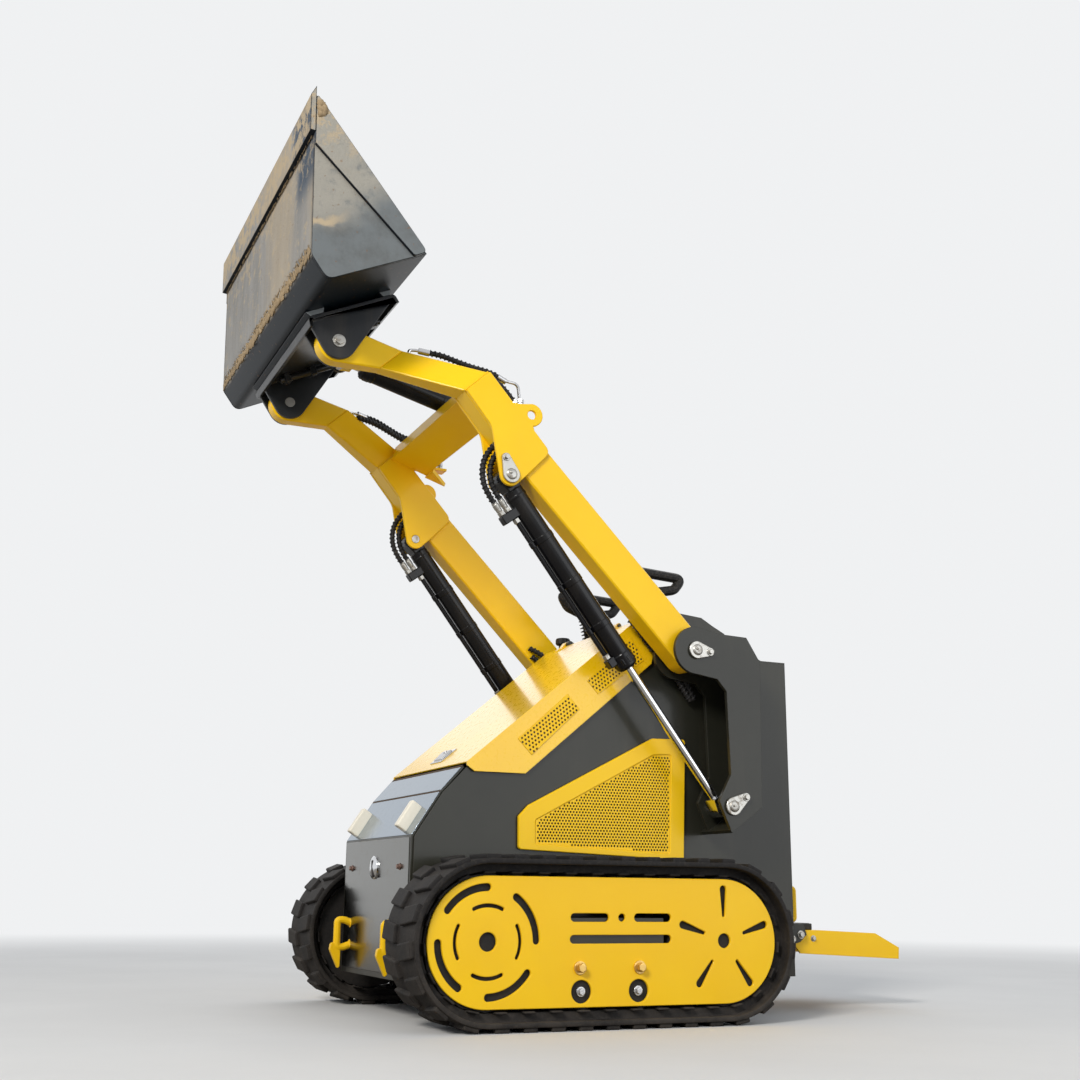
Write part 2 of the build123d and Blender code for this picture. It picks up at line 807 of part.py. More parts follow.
def lift_barrel():
    # The oil pipe runs along the barrel's lower front side, between a block at each end, and two
    # hose fittings stand on the upper block
    pin_length = arm_outer_y - arm_inner_y - 2 * (overlay_plate + pin_end_gap)
    barrel = cylinder_barrel(lift_upper, lift_lower, lift_barrel_radius, lift_barrel_length,
                             lift_eye_radius, lift_eye_width, lift_rod_radius, arm_mid_y, pin_length)
    barrel += along(lift_upper, lift_lower, pipe_radius, pipe_from, pipe_to, arm_mid_y, pipe_offset, 8)
    half = port_size / 2
    for reach, depth in ((pipe_from, hose_offsets[1] + fitting_radius), (pipe_to, pipe_end_depth)):
        corners = [from_line(lift_upper, lift_lower, reach + side * half, off)
                   for side, off in ((-1, port_root), (1, port_root), (1, depth), (-1, depth))]
        barrel += across(side_face(corners), arm_mid_y - half, arm_mid_y + half)
    top = pipe_from - half
    for offset in hose_offsets:
        barrel += along(lift_upper, lift_lower, fitting_radius, top - fitting_length, top, arm_mid_y,
                        offset, 6)
    return barrel


def lift_hoses():
    # Two hoses that leave the fittings on the barrel and bend up between the arm's plates
    start = pipe_from - port_size / 2 - fitting_length
    hoses = []
    for offset, run, bends in zip(hose_offsets, hose_first_runs, hose_bends):
        route = [from_line(lift_upper, lift_lower, reach, offset) for reach in (start, start - run)]
        route += [near(lift_upper, *bend) for bend in bends]
        points = [Vector(x, arm_mid_y, z) for x, z in route]
        radii = []
        for before, corner, after in zip(points, points[1:], points[2:]):
            arriving, leaving = corner - before, after - corner
            half_turn = radians(arriving.get_angle(leaving)) / 2
            radii.append(0.45 * min(arriving.length, leaving.length) / tan(half_turn))
        print("lift hose bend radii", [round(radius, 1) for radius in radii])
        path = FilletPolyline(*points, radius=radii)
        ring = Plane(origin=path @ 0, z_dir=path % 0) * RegularPolygon(hose_radius, 8)
        hoses.append(sweep(ring, path=path))
    return hoses


def lift_rod():
    pin_length = 2 * (arm_mid_y - tower_inner_y - tower_plate - pin_end_gap)
    return cylinder_rod(lift_upper, lift_lower, lift_rod_radius, lift_rod_length, lift_eye_radius,
                        lift_eye_width, arm_mid_y, pin_length)


def tilt_barrel():
    pin_length = tilt_barrel_eye_width + 2 * (ear_gap - pin_end_gap)
    return cylinder_barrel(tilt_rear, tilt_front, tilt_barrel_radius, tilt_barrel_length,
                           tilt_eye_radius, tilt_barrel_eye_width, tilt_rod_radius, 0, pin_length)


def tilt_rod():
    return cylinder_rod(tilt_rear, tilt_front, tilt_rod_radius, tilt_rod_length, tilt_eye_radius,
                        tilt_rod_eye_width, 0, tilt_rod_eye_width + 2 * (attach_ear_gap - pin_end_gap))


# Bucket and its quick-attach plate

def off_back(distance_along, distance_off):
    # Point beside the bucket's back plate: along it from the heel, and off it towards the arm
    return from_line(bucket_heel_rear, bucket_lip, distance_along, distance_off)


def bucket():
    path = [bucket_tip, bucket_heel_front, bucket_heel_rear, bucket_lip]
    inner = bucket_half_width - cutter_thickness
    floor = folded_sheet(path, -bucket_sheet, -inner, inner)
    side = across(side_face(path), inner - bucket_sheet, inner)
    hooks = []
    for start, end in hook_places:
        outline = [off_back(start, 0), off_back(end, 0), off_back(end - hook_slope, attach_gap),
                   off_back(start + hook_slope, attach_gap)]
        hooks.append(across(side_face(outline), -attach_half_width, attach_half_width))
    return Part() + floor + both_sides(side) + hooks


def side_cutter():
    # Bolted wear strip down the open edge of each side
    outline = [bucket_tip, from_line(bucket_tip, bucket_heel_front, cutter_along, 0),
               from_line(bucket_lip, bucket_heel_rear, cutter_lip, 0), bucket_lip]
    return across(side_face(outline), bucket_half_width - cutter_thickness, bucket_half_width)


def cutting_edge():
    top = from_line(bucket_tip, bucket_heel_front, -edge_reach, 0)
    bottom = from_line(bucket_tip, bucket_heel_front, edge_width - edge_reach, 0)
    return folded_sheet([top, bottom], edge_thickness, -bucket_half_width, bucket_half_width)


def attach_plate():
    # Flanged plate with two ears about each arm tip and two about the tilt rod's eye
    base = attach_gap + attach_plate_thickness
    path = [off_back(attach_from - attach_flange_lean, base + attach_flange),
            off_back(attach_from, attach_gap), off_back(attach_to, attach_gap),
            off_back(attach_to + attach_flange_lean, base + attach_flange)]
    solid = folded_sheet(path, attach_plate_thickness, -attach_half_width, attach_half_width)
    feet = [off_back(reach, base - ear_bite) for reach in arm_ear_feet]
    ear_face = hull_face(tip_pivot, arm_ear_radius, feet)
    gap = tip_width / 2 + attach_ear_gap
    ears = [across(ear_face, y, y + attach_ear) for y in (tip_mid_y - gap - attach_ear, tip_mid_y + gap)]
    feet = [off_back(reach, base - ear_bite) for reach in rod_ear_feet]
    rod_face = hull_face(tilt_front, rod_ear_radius, feet)
    half = tilt_rod_eye_width / 2 + attach_ear_gap
    ears.append(across(rod_face, half, half + ear_plate))
    return Part() + solid + both_sides(*ears)


def attach_pins():
    # Pins between the ears, through the arm tips, and their heads outside the ears
    half = tip_width / 2 + attach_ear_gap
    head_y = tip_mid_y + half + attach_ear
    rod_head_y = tilt_rod_eye_width / 2 + attach_ear_gap + ear_plate
    return both_sides(hinge_pin(tip_pivot, tip_mid_y, 2 * half),
                      flat_disc(tip_pivot, pin_head_radius, 6, head_y, head_y + pin_head_height),
                      flat_disc(tilt_front, rod_head_radius, 6, rod_head_y,
                                rod_head_y + rod_head_height))


# Platform

def platform():
    # Folded deck between two cheeks, which turn on the pins of the rear brackets
    edge = platform_half_width
    cheek = across(side_face([*platform_deck, *platform_foot]), edge - platform_sheet, edge)
    deck = folded_sheet(platform_deck, platform_sheet, -edge, edge)
    hole = disc(platform_pivot, platform_pin_radius + pin_clearance, -edge, edge)
    return Part() + both_sides(cheek) + deck - hole


def platform_mat():
    # Raised black step strip along the front of the platform
    strip = [near(platform_deck[0], -mat_gap, 0), near(platform_deck[1], mat_gap, 0)]
    return folded_sheet(strip, -mat_height, -mat_half_width, mat_half_width)


def platform_bracket():
    pin = platform_pivot
    outline = [(rear_x, pin[1] + bracket_rise), near(pin, -10, bracket_rise), near(pin, -20, 0),
               near(pin, 2, -20), (rear_x, pin[1] - bracket_drop)]
    inner_y = platform_half_width + bracket_gap
    ear = across(side_face(outline), inner_y, inner_y + bracket_plate)
    pin_end_y = platform_half_width - platform_sheet - platform_pin_end
    ear += disc(pin, platform_pin_radius, pin_end_y, inner_y)
    return both_sides(ear)


def tie_downs():
    # Loops on the front and rear panels, each front one with a pointed tab below it on the panel
    tip_half = tie_tab_thickness
    top = tie_tab_width / 2
    tab = Polygon((-top, front_tie_z[0]), (-tip_half, tie_tab_foot_z), (tip_half, tie_tab_foot_z),
                  (top, front_tie_z[0]), align=None)
    wall = Plane(origin=(nose_x, front_tie_y, 0), x_dir=(0, 1, 0), z_dir=(1, 0, 0))
    tab = extrude(wall * tab, amount=tie_tab_thickness)
    loops = []
    for wall_x, reach, y, (low, high) in ((nose_x, front_tie_reach, front_tie_y, front_tie_z),
                                          (rear_x, -rear_tie_reach, rear_tie_y, rear_tie_z)):
        end_x = wall_x + reach
        route = [(wall_x, y, high), (end_x, y, high), (end_x, y, low), (wall_x, y, low)]
        loops.append(bent_bar(route, tie_radius, [tie_bend, tie_bend]))
    loops[0] = loops[0] + tab
    return both_sides(*loops)


# Console and fittings on the deck

def on_deck(x):
    # Height of the sloping deck in front of the operator
    low, high = deck_path[2], deck_high
    return low[1] + (x - low[0]) * (high[1] - low[1]) / (high[0] - low[0])


def console():
    rear_x_at = deck_high[0] - console_overlap
    outline = [near(deck_high, console_depth, 0), *console_brow, (rear_x_at, on_deck(rear_x_at)),
               deck_high]
    return across(side_face(outline), -console_half_width, console_half_width)


def control_handles():
    # On each side a bent D-shaped grip on a ribbed bellows, which leans forward on the console
    brow, slope = console_brow[:2]
    ux, uz = direction(slope, brow)
    foot = from_line(brow, slope, lever_foot, 0)
    bellows = Part()
    for rib in range(2 * bellows_rib_count):
        share = rib / (2 * bellows_rib_count)
        centre = near(foot, lever_lean[0] * share, lever_lean[1] * share)
        plane = Plane(origin=(centre[0], lever_y, centre[1]), x_dir=(0, 1, 0), z_dir=(-uz, 0, ux))
        radius = bellows_radius - bellows_taper * share - (bellows_fold if rib % 2 else 0)
        height = hypot(*lever_lean) / (2 * bellows_rib_count)
        bellows += extrude(plane * RegularPolygon(radius, bellows_flats), amount=height + bellows_bite)
    head = near(foot, *lever_lean)
    legs = [from_line(head, near(head, ux, uz), spread, rise)
            for spread, rise in ((grip_leg_spread, 0), (grip_leg_spread, grip_leg_height),
                                 (-grip_leg_spread, grip_leg_height), (-grip_leg_spread, 0))]
    ring = [near(head, *corner) for corner in grip_corners]
    route = [(x, lever_y, z) for x, z in legs[:2] + ring + legs[2:]]
    grip = bent_bar(route, lever_tube_radius, [0, 0, grip_bend, grip_bend, 0, 0])
    return both_sides(bellows, grip)


def work_lights():
    # Two oblong lamps on the slope of the nose
    ux, uz = direction(nose_top, slope_break)
    middle = from_line(nose_top, slope_break, lamp_along, 0)
    plane = Plane(origin=(middle[0], lamp_y, middle[1]), x_dir=(0, 1, 0), z_dir=(uz, 0, -ux))
    lamp = chamfer(Rectangle(*lamp_size).vertices(), lamp_corner)
    return both_sides(extrude(plane * lamp, amount=lamp_depth))


def panel_lock():
    # Round lock in the front panel between its two bolts
    pieces = [extrude(RegularPolygon(lock_radius, 12), amount=lock_height)]
    bolt = extrude(RegularPolygon(panel_bolt_radius, 6), amount=panel_bolt_height)
    pieces += [Pos(0, y, 0) * bolt for y in (-panel_bolt_y, panel_bolt_y)]
    return [Pos(nose_x, 0, lock_z) * Rot(0, 90, 0) * piece for piece in pieces]


def fuel_cap():
    # Filler neck and cap on the deck behind the hood's right corner
    at = Pos(hood_rear[0] - cap_from_hood, -cap_y, deck_top_z)
    neck = extrude(at * RegularPolygon(neck_radius, 8), amount=neck_height)
    cap = extrude(at * Pos(0, 0, neck_height) * RegularPolygon(cap_radius, 12), amount=cap_height)
    return neck + cap


left_nodes = {
    "track": track,
    "guard_plate": guard_plate,
    "track_beam": track_beam,
    "running_wheels": running_wheels,
    "side_wall": side_wall,
    "side_grille": side_grille,
    "tower": tower,
    "arm": arm,
    "lift_barrel": lift_barrel,
    "lift_rod": lift_rod,
    "lift_hoses": lift_hoses,
    "side_cutter": side_cutter,
}
middle_nodes = {
    "nose_panel": nose_panel,
    "rear_panel": rear_panel,
    "belly_plate": belly_plate,
    "engine_block": engine_block,
    "hood": hood,
    "hood_latch": hood_latch,
    "tower_pins": tower_pins,
    "cross_member": cross_member,
    "arm_pins": arm_pins,
    "tilt_barrel": tilt_barrel,
    "tilt_rod": tilt_rod,
    "bucket": bucket,
    "cutting_edge": cutting_edge,
    "attach_plate": attach_plate,
    "attach_pins": attach_pins,
    "platform": platform,
    "platform_mat": platform_mat,
    "platform_bracket": platform_bracket,
    "tie_downs": tie_downs,
    "console": console,
    "control_handles": control_handles,
    "work_lights": work_lights,
    "panel_lock": panel_lock,
    "fuel_cap": fuel_cap,
}


def solids_of(shape):
    pieces = shape if isinstance(shape, list) else [shape]
    return [solid for piece in pieces for solid in piece.solids()]


nodes = {}
for name, make in middle_nodes.items():
    nodes[name] = solids_of(make())
for name, make in left_nodes.items():
    left = solids_of(make())
    nodes[name + "_left"] = left
    nodes[name + "_right"] = [mirrored(solid) for solid in left]

boxes = [solid.bounding_box() for solids in nodes.values() for solid in solids]
middle_x = (min(box.min.X for box in boxes) + max(box.max.X for box in boxes)) / 2
print("the origin stands at drawn X", round(middle_x, 3))

os.makedirs("parts", exist_ok=True)
for name, solids in nodes.items():
    placed = Compound([Pos(-middle_x, 0, 0) * solid for solid in solids])
    export_step(placed, f"parts/{name}.step")
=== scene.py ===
import json
import random
from math import cos, hypot, pi, radians, sin, tan

import bmesh
import bpy
from mathutils import Matrix, Vector, geometry


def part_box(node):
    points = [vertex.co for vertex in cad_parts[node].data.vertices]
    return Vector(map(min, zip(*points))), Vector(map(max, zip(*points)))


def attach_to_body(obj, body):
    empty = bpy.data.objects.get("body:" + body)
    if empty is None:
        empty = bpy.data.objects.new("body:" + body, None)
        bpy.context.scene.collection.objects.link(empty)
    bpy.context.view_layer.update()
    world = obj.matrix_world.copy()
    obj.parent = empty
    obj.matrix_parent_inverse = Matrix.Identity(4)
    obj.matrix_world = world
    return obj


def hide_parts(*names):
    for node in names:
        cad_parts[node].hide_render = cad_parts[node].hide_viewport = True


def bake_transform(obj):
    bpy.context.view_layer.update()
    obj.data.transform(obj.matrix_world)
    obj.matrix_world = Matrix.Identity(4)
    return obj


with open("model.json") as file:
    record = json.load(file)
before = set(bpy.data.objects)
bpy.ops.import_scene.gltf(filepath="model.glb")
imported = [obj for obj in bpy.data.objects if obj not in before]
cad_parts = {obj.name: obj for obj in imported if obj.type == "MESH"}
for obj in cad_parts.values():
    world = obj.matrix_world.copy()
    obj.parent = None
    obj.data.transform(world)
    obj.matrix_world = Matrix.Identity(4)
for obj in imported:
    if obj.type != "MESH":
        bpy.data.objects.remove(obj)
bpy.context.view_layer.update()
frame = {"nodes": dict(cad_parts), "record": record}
nodes = frame["nodes"]
print("Frame loaded:", len(nodes), "nodes")

# Places below are in the CAD's drawing millimetres: X from midway between the track hubs
guardLow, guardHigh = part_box("guard_plate_left")
drawnX = (guardLow.x + guardHigh.x) / 2


def spot(x, y, z):  # drawing millimetres to metres in the frame
    return Vector((drawnX + x / 1000, y / 1000, z / 1000))


# Camera, as the photograph was taken: low, from the front left, looking up
viewFrom = {"at": (1589.6, 3624.2, 315.2), "heading": 245.81, "rise": 14.52, "roll": 0.586, "lens": 45.46}


def makeCamera():
    data = bpy.data.cameras.new("photoCamera")
    data.lens = viewFrom["lens"]
    data.sensor_width = 36
    data.clip_end = 200
    camera = bpy.data.objects.new("photoCamera", data)
    bpy.context.scene.collection.objects.link(camera)
    heading, rise = radians(viewFrom["heading"]), radians(viewFrom["rise"])
    look = Vector((cos(rise) * cos(heading), cos(rise) * sin(heading), sin(rise)))
    turn = look.to_track_quat("-Z", "Y").to_matrix() @ Matrix.Rotation(radians(viewFrom["roll"]), 3, "Z")
    camera.matrix_world = Matrix.Translation(spot(*viewFrom["at"])) @ turn.to_4x4()
    bpy.context.scene.camera = camera


makeCamera()
print("Camera placed")


# Hoses come first: each is one smooth spline, with a spiral wrap that follows it
hoseSizes = {"radius": 0.007, "wrapRadius": 0.0022, "wrapPitch": 0.0125}
liftHoses = {
    "Outer": [(268.4, 1321.8), (291.6, 1351.8), (304, 1390), (302, 1433), (285, 1467), (266, 1490)],
    "Inner": [(251.7, 1334.6), (272.5, 1361.5), (283, 1399), (279, 1435), (264, 1461), (250, 1474)],
}
liftHoseY = 381
armHoses = {
    "Upper": [(436, 292, 1754), (412, 297, 1752), (390, 301, 1747), (350, 311, 1733), (316, 320, 1722),
              (286, 326, 1716), (262, 327, 1711), (241, 325, 1705)],
    "Lower": [(470, 262, 1738), (440, 272, 1738), (400, 284, 1733), (350, 298, 1718), (310, 312, 1707),
              (280, 323, 1703), (256, 331, 1694), (236, 334, 1677), (214, 337, 1655), (194, 338, 1630)],
}
pivotHoses = {
    "Upper": [(-156, 337, 1076), (-176, 333, 1068), (-200, 325, 1053), (-226, 316, 1028), (-256, 311, 998),
              (-298, 309, 956), (-332, 309, 918), (-360, 309, 882), (-380, 309, 846)],
    "Lower": [(-164, 337, 1050), (-186, 331, 1036), (-210, 320, 1015), (-238, 312, 988), (-268, 309, 960),
              (-306, 309, 922), (-340, 309, 884), (-368, 309, 842)],
}
clothed = []  # hose pieces and the finish that each gets once the finishes are made


def shownMesh(curve, name):  # a curve made into a mesh
    holder = bpy.data.objects.new(name, curve)
    bpy.context.scene.collection.objects.link(holder)
    bpy.context.view_layer.update()
    mesh = bpy.data.meshes.new_from_object(holder.evaluated_get(bpy.context.evaluated_depsgraph_get()))
    bpy.data.objects.remove(holder)
    mesh.name = name
    return mesh


def splineCurve(name, points, kind, radius=0.0):
    curve = bpy.data.curves.new(name, "CURVE")
    curve.dimensions = "3D"
    curve.bevel_depth = radius
    curve.bevel_resolution = 3
    curve.use_fill_caps = True
    curve.resolution_u = 8
    spline = curve.splines.new(kind)
    spline.points.add(len(points) - 1)
    for point, place in zip(spline.points, points):
        point.co = (*place, 1)
    if kind == "NURBS":
        spline.order_u = 3
        spline.use_endpoint_u = True
    return curve


def centreLine(name, points):  # points along a smooth spline
    mesh = shownMesh(splineCurve(name, points, "NURBS"), name)
    return [vert.co.copy() for vert in mesh.vertices]


def spiralAbout(line, radius, pitch):  # points of a spiral wound round a line of points
    points = []
    turn = 0.0
    side = (line[1] - line[0]).orthogonal().normalized()
    for start, end in zip(line, line[1:]):
        run = end - start
        along = run.normalized()
        side = (side - along * side.dot(along)).normalized()
        steps = max(1, round(run.length / pitch * 8))
        for step in range(steps):
            angle = turn + 2 * pi * run.length * step / steps / pitch
            out = side * cos(angle) + along.cross(side) * sin(angle)
            points.append(start + run * step / steps + out * radius)
        turn += 2 * pi * run.length / pitch
    return points


def looseObject(name, mesh):
    for polygon in mesh.polygons:
        polygon.use_smooth = True
    piece = bpy.data.objects.new(name, mesh)
    bpy.context.scene.collection.objects.link(piece)
    return piece


def addHose(name, points, bodies, bend=(), stands=()):
    # A wrapped hose through points in metres; when bend, its first and last point, is given, the hose stays
    # where it is with no body, else it goes with the first of its bodies
    radius, wrap = hoseSizes["radius"], hoseSizes["wrapRadius"]
    line = centreLine(name + "Line", points)
    tube = looseObject(name, shownMesh(splineCurve(name, points, "NURBS", radius), name))
    windings = spiralAbout(line, radius + wrap * 0.4, hoseSizes["wrapPitch"])
    wound = splineCurve(name + "Wrap", windings, "POLY", wrap)
    wound.bevel_resolution = 1
    wound = looseObject(name + "Wrap", shownMesh(wound, name + "Wrap"))
    for piece in (tube, wound):
        if bend:
            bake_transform(piece)
        else:
            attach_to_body(piece, bodies[0])
    if stands:
        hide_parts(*stands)
    clothed.append((tube, "hoseRubber"))
    clothed.append((wound, "wrapPlastic"))


for side, way in (("left", 1), ("right", -1)):
    for place, route in liftHoses.items():
        points = [spot(x, way * liftHoseY, z) for x, z in route]
        addHose("liftHose" + place + side.capitalize(), points, ("lift_barrel_" + side, "arm"),
                (points[0], points[-1]), ["lift_hoses_" + side] if place == "Outer" else ())
    for place, route in armHoses.items():
        addHose("armHose" + place + side.capitalize(), [spot(x, way * y, z) for x, y, z in route], ("arm",))
    for place, route in pivotHoses.items():
        points = [spot(x, way * y, z) for x, y, z in route]
        addHose("pivotHose" + place + side.capitalize(), points, ("arm", "chassis"), (points[0], points[-1]))
print("Hoses made:", len(clothed) // 2)


# Shader building

def put(tree, kind, inputs=None, **settings):  # one node, its settings, and what goes into its sockets
    node = tree.nodes.new("ShaderNode" + kind)
    for key, value in settings.items():
        setattr(node, key, value)
    for key, value in (inputs or {}).items():
        if isinstance(value, bpy.types.NodeSocket):
            tree.links.new(value, node.inputs[key])
        else:
            node.inputs[key].default_value = value
    return node


def maths(tree, operation, *values, clamp=False):
    return put(tree, "Math", dict(enumerate(values)), operation=operation, use_clamp=clamp).outputs[0]


def times(tree, first, second, clamp=False):
    return maths(tree, "MULTIPLY", first, second, clamp=clamp)


def plus(tree, first, second, clamp=False):
    return maths(tree, "ADD", first, second, clamp=clamp)


def mixed(tree, share, first, second):  # two colours mixed
    return put(tree, "Mix", {0: share, 6: first, 7: second}, data_type="RGBA").outputs[2]


def blended(tree, share, first, second):  # two values mixed
    return put(tree, "Mix", {0: share, 2: first, 3: second}, data_type="FLOAT").outputs[0]


def ranged(tree, value, low, high):  # 0 at low and 1 at high, eased between them
    return put(tree, "MapRange", {0: value, 1: low, 2: high}, interpolation_type="SMOOTHSTEP").outputs[0]


def noisy(tree, place, scale, detail=3.0, rough=0.55):
    into = {"Vector": place, "Scale": scale, "Detail": detail, "Roughness": rough}
    return put(tree, "TexNoise", into).outputs[0]


def newGroup(name, inputs, outputs):
    group = bpy.data.node_groups.new(name, "ShaderNodeTree")
    for label, value in inputs.items():
        socket = group.interface.new_socket(label, in_out="INPUT", socket_type="NodeSocketFloat")
        socket.default_value = value
    for label in outputs:
        group.interface.new_socket(label, in_out="OUTPUT", socket_type="NodeSocketFloat")
    return group, put(group, "TexCoord").outputs["Object"]


def groupEnds(group):
    return group.nodes.new("NodeGroupInput").outputs, group.nodes.new("NodeGroupOutput").inputs


def edgeWearGroup():  # 1 along sharp edges, broken up by noise
    group, place = newGroup("edgeWear", {"Width": 0.003, "Amount": 0.5, "Scale": 40.0}, ["Mask"])
    into, out = groupEnds(group)
    bevel = put(group, "Bevel", {"Radius": into["Width"]}, samples=4)
    flat = put(group, "NewGeometry").outputs["True Normal"]
    turned = put(group, "VectorMath", {0: bevel.outputs[0], 1: flat}, operation="DOT_PRODUCT")
    edge = ranged(group, turned.outputs["Value"], 0.995, 0.86)
    broken = ranged(group, noisy(group, place, into["Scale"], 5.0, 0.7), 0.42, 0.62)
    worn = times(group, edge, broken)
    group.links.new(times(group, worn, into["Amount"], clamp=True), out["Mask"])
    return group


def settledDustGroup():  # dust that thins out with height and lies thicker on top faces
    sockets = {"Low": 0.1, "High": 0.6, "Amount": 0.5, "Scale": 9.0, "OnTop": 0.3}
    group, place = newGroup("settledDust", sockets, ["Mask"])
    into, out = groupEnds(group)
    height = put(group, "SeparateXYZ", {0: place}).outputs[2]
    low = ranged(group, height, into["High"], into["Low"])
    up = put(group, "SeparateXYZ", {0: put(group, "NewGeometry").outputs["Normal"]}).outputs[2]
    top = times(group, ranged(group, up, 0.35, 0.95), into["OnTop"])
    clouds = ranged(group, noisy(group, place, into["Scale"], 6.0, 0.62), 0.30, 0.74)
    cover = times(group, plus(group, low, top), clouds)
    group.links.new(times(group, cover, into["Amount"], clamp=True), out["Mask"])
    return group


def runMarksGroup():  # faint streaks that water leaves down a standing panel
    group, place = newGroup("runMarks", {"Scale": 14.0, "Amount": 0.3}, ["Mask"])
    into, out = groupEnds(group)
    narrow = put(group, "Mapping", {0: place, 3: (1.0, 1.0, 0.09)}).outputs[0]
    streaks = ranged(group, noisy(group, narrow, into["Scale"], 4.0, 0.6), 0.45, 0.75)
    patches = ranged(group, noisy(group, place, 3.0, 2.0), 0.35, 0.65)
    both = times(group, streaks, patches)
    group.links.new(times(group, both, into["Amount"], clamp=True), out["Mask"])
    return group


def fineGrainGroup():  # small bumps and a slow waviness, as a height in metres
    group, place = newGroup("fineGrain", {"Scale": 300.0, "Fine": 0.0001, "Wave": 0.0002}, ["Height"])
    into, out = groupEnds(group)
    small = times(group, noisy(group, place, into["Scale"], 2.0), into["Fine"])
    slow = times(group, noisy(group, place, 6.0, 1.0), into["Wave"])
    group.links.new(plus(group, small, slow), out["Height"])
    return group


edgeWear = edgeWearGroup()
settledDust = settledDustGroup()
runMarks = runMarksGroup()
fineGrain = fineGrainGroup()


def useGroup(tree, group, output, **inputs):
    node = tree.nodes.new("ShaderNodeGroup")
    node.node_tree = group
    for key, value in inputs.items():
        node.inputs[key].default_value = value
    return node.outputs[output]


def rgb(red, green, blue):
    return (red, green, blue, 1.0)


def newMaterial(name):
    material = bpy.data.materials.new(name)
    material.use_nodes = True
    tree = material.node_tree
    return material, tree, tree.nodes["Principled BSDF"], put(tree, "TexCoord").outputs["Object"]


def feed(tree, shader, **sockets):
    names = {"colour": "Base Color", "rough": "Roughness", "metal": "Metallic", "normal": "Normal"}
    for key, value in sockets.items():
        socket = shader.inputs[names[key]]
        if isinstance(value, bpy.types.NodeSocket):
            tree.links.new(value, socket)
        else:
            socket.default_value = value


def grainNormal(tree, scale, fine, wave, strength=1.0, eased=0.003):  # grain over edges that look eased
    height = useGroup(tree, fineGrain, "Height", Scale=scale, Fine=fine, Wave=wave)
    edges = put(tree, "Bevel", {"Radius": eased}, samples=4).outputs[0]
    into = {"Height": height, "Strength": strength, "Distance": 1.0, "Normal": edges}
    return put(tree, "Bump", into).outputs[0]


# Painted, rubber, cast and plated finishes
sandDust = rgb(0.36, 0.29, 0.20)
paints = {
    "yellowPaint": {"colour": rgb(0.97, 0.60, 0.006), "shade": rgb(0.93, 0.55, 0.005), "rough": 0.34,
                    "coat": 0.1, "shine": 0.2, "worn": rgb(0.42, 0.29, 0.10), "wear": 0.18, "dust": 0.03,
                    "dustTo": 0.5, "runs": 0.01},
    "darkPaint": {"colour": rgb(0.024, 0.024, 0.017), "shade": rgb(0.018, 0.018, 0.013), "rough": 0.36,
                  "coat": 0.25, "shine": 0.22, "worn": rgb(0.12, 0.11, 0.10), "wear": 0.25, "dust": 0.05,
                  "dustTo": 0.55, "runs": 0.03},
    "couplerPaint": {"colour": rgb(0.009, 0.011, 0.014), "shade": rgb(0.016, 0.018, 0.020), "rough": 0.34,
                     "coat": 0.2, "shine": 0.25, "worn": rgb(0.16, 0.15, 0.13), "wear": 0.5, "dust": 0.05,
                     "dustTo": 2.4, "runs": 0.08},
    "cylinderBlack": {"colour": rgb(0.004, 0.004, 0.005), "shade": rgb(0.006, 0.006, 0.007), "rough": 0.24,
                      "coat": 0.15, "shine": 0.2, "worn": rgb(0.08, 0.08, 0.08), "wear": 0.15, "dust": 0.05,
                      "dustTo": 0.5, "runs": 0.03},
    "lampCream": {"colour": rgb(0.86, 0.80, 0.66), "shade": rgb(0.80, 0.72, 0.56), "rough": 0.36, "coat": 0.2,
                  "shine": 0.5, "worn": rgb(0.55, 0.46, 0.33), "wear": 0.4, "dust": 0.25, "dustTo": 0.7,
                  "runs": 0.15},
}
paints["hoodYellow"] = {**paints["yellowPaint"], "rough": 0.28, "coat": 0.4, "shine": 0.4, "dust": 0.04,
                        "dustTo": 0.9, "runs": 0.02}


def paintFinish(name, colour, shade, rough, coat, shine, worn, wear, dust, dustTo, runs):
    material, tree, shader, place = newMaterial(name)
    clouds = ranged(tree, noisy(tree, place, 2.5, 4.0), 0.35, 0.65)
    paint = mixed(tree, clouds, colour, shade)
    streaks = useGroup(tree, runMarks, "Mask", Scale=14.0, Amount=runs)
    paint = mixed(tree, streaks, paint, sandDust)
    dirt = useGroup(tree, settledDust, "Mask", Low=0.04, High=dustTo, Amount=dust, Scale=7.0, OnTop=0.25)
    paint = mixed(tree, dirt, paint, sandDust)
    bare = useGroup(tree, edgeWear, "Mask", Width=0.0025, Amount=wear, Scale=45.0)
    paint = mixed(tree, bare, paint, worn)
    fine = times(tree, noisy(tree, place, 90.0, 3.0), 0.10)
    dull = plus(tree, plus(tree, fine, rough - 0.05), times(tree, dirt, 0.5))
    feed(tree, shader, colour=paint, rough=plus(tree, dull, times(tree, bare, 0.2), clamp=True),
         normal=grainNormal(tree, 420.0, 0.00004, 0.0004, 0.8))
    shader.inputs["Coat Weight"].default_value = coat
    shader.inputs["Coat Roughness"].default_value = 0.14
    shader.inputs["Specular IOR Level"].default_value = shine
    return material


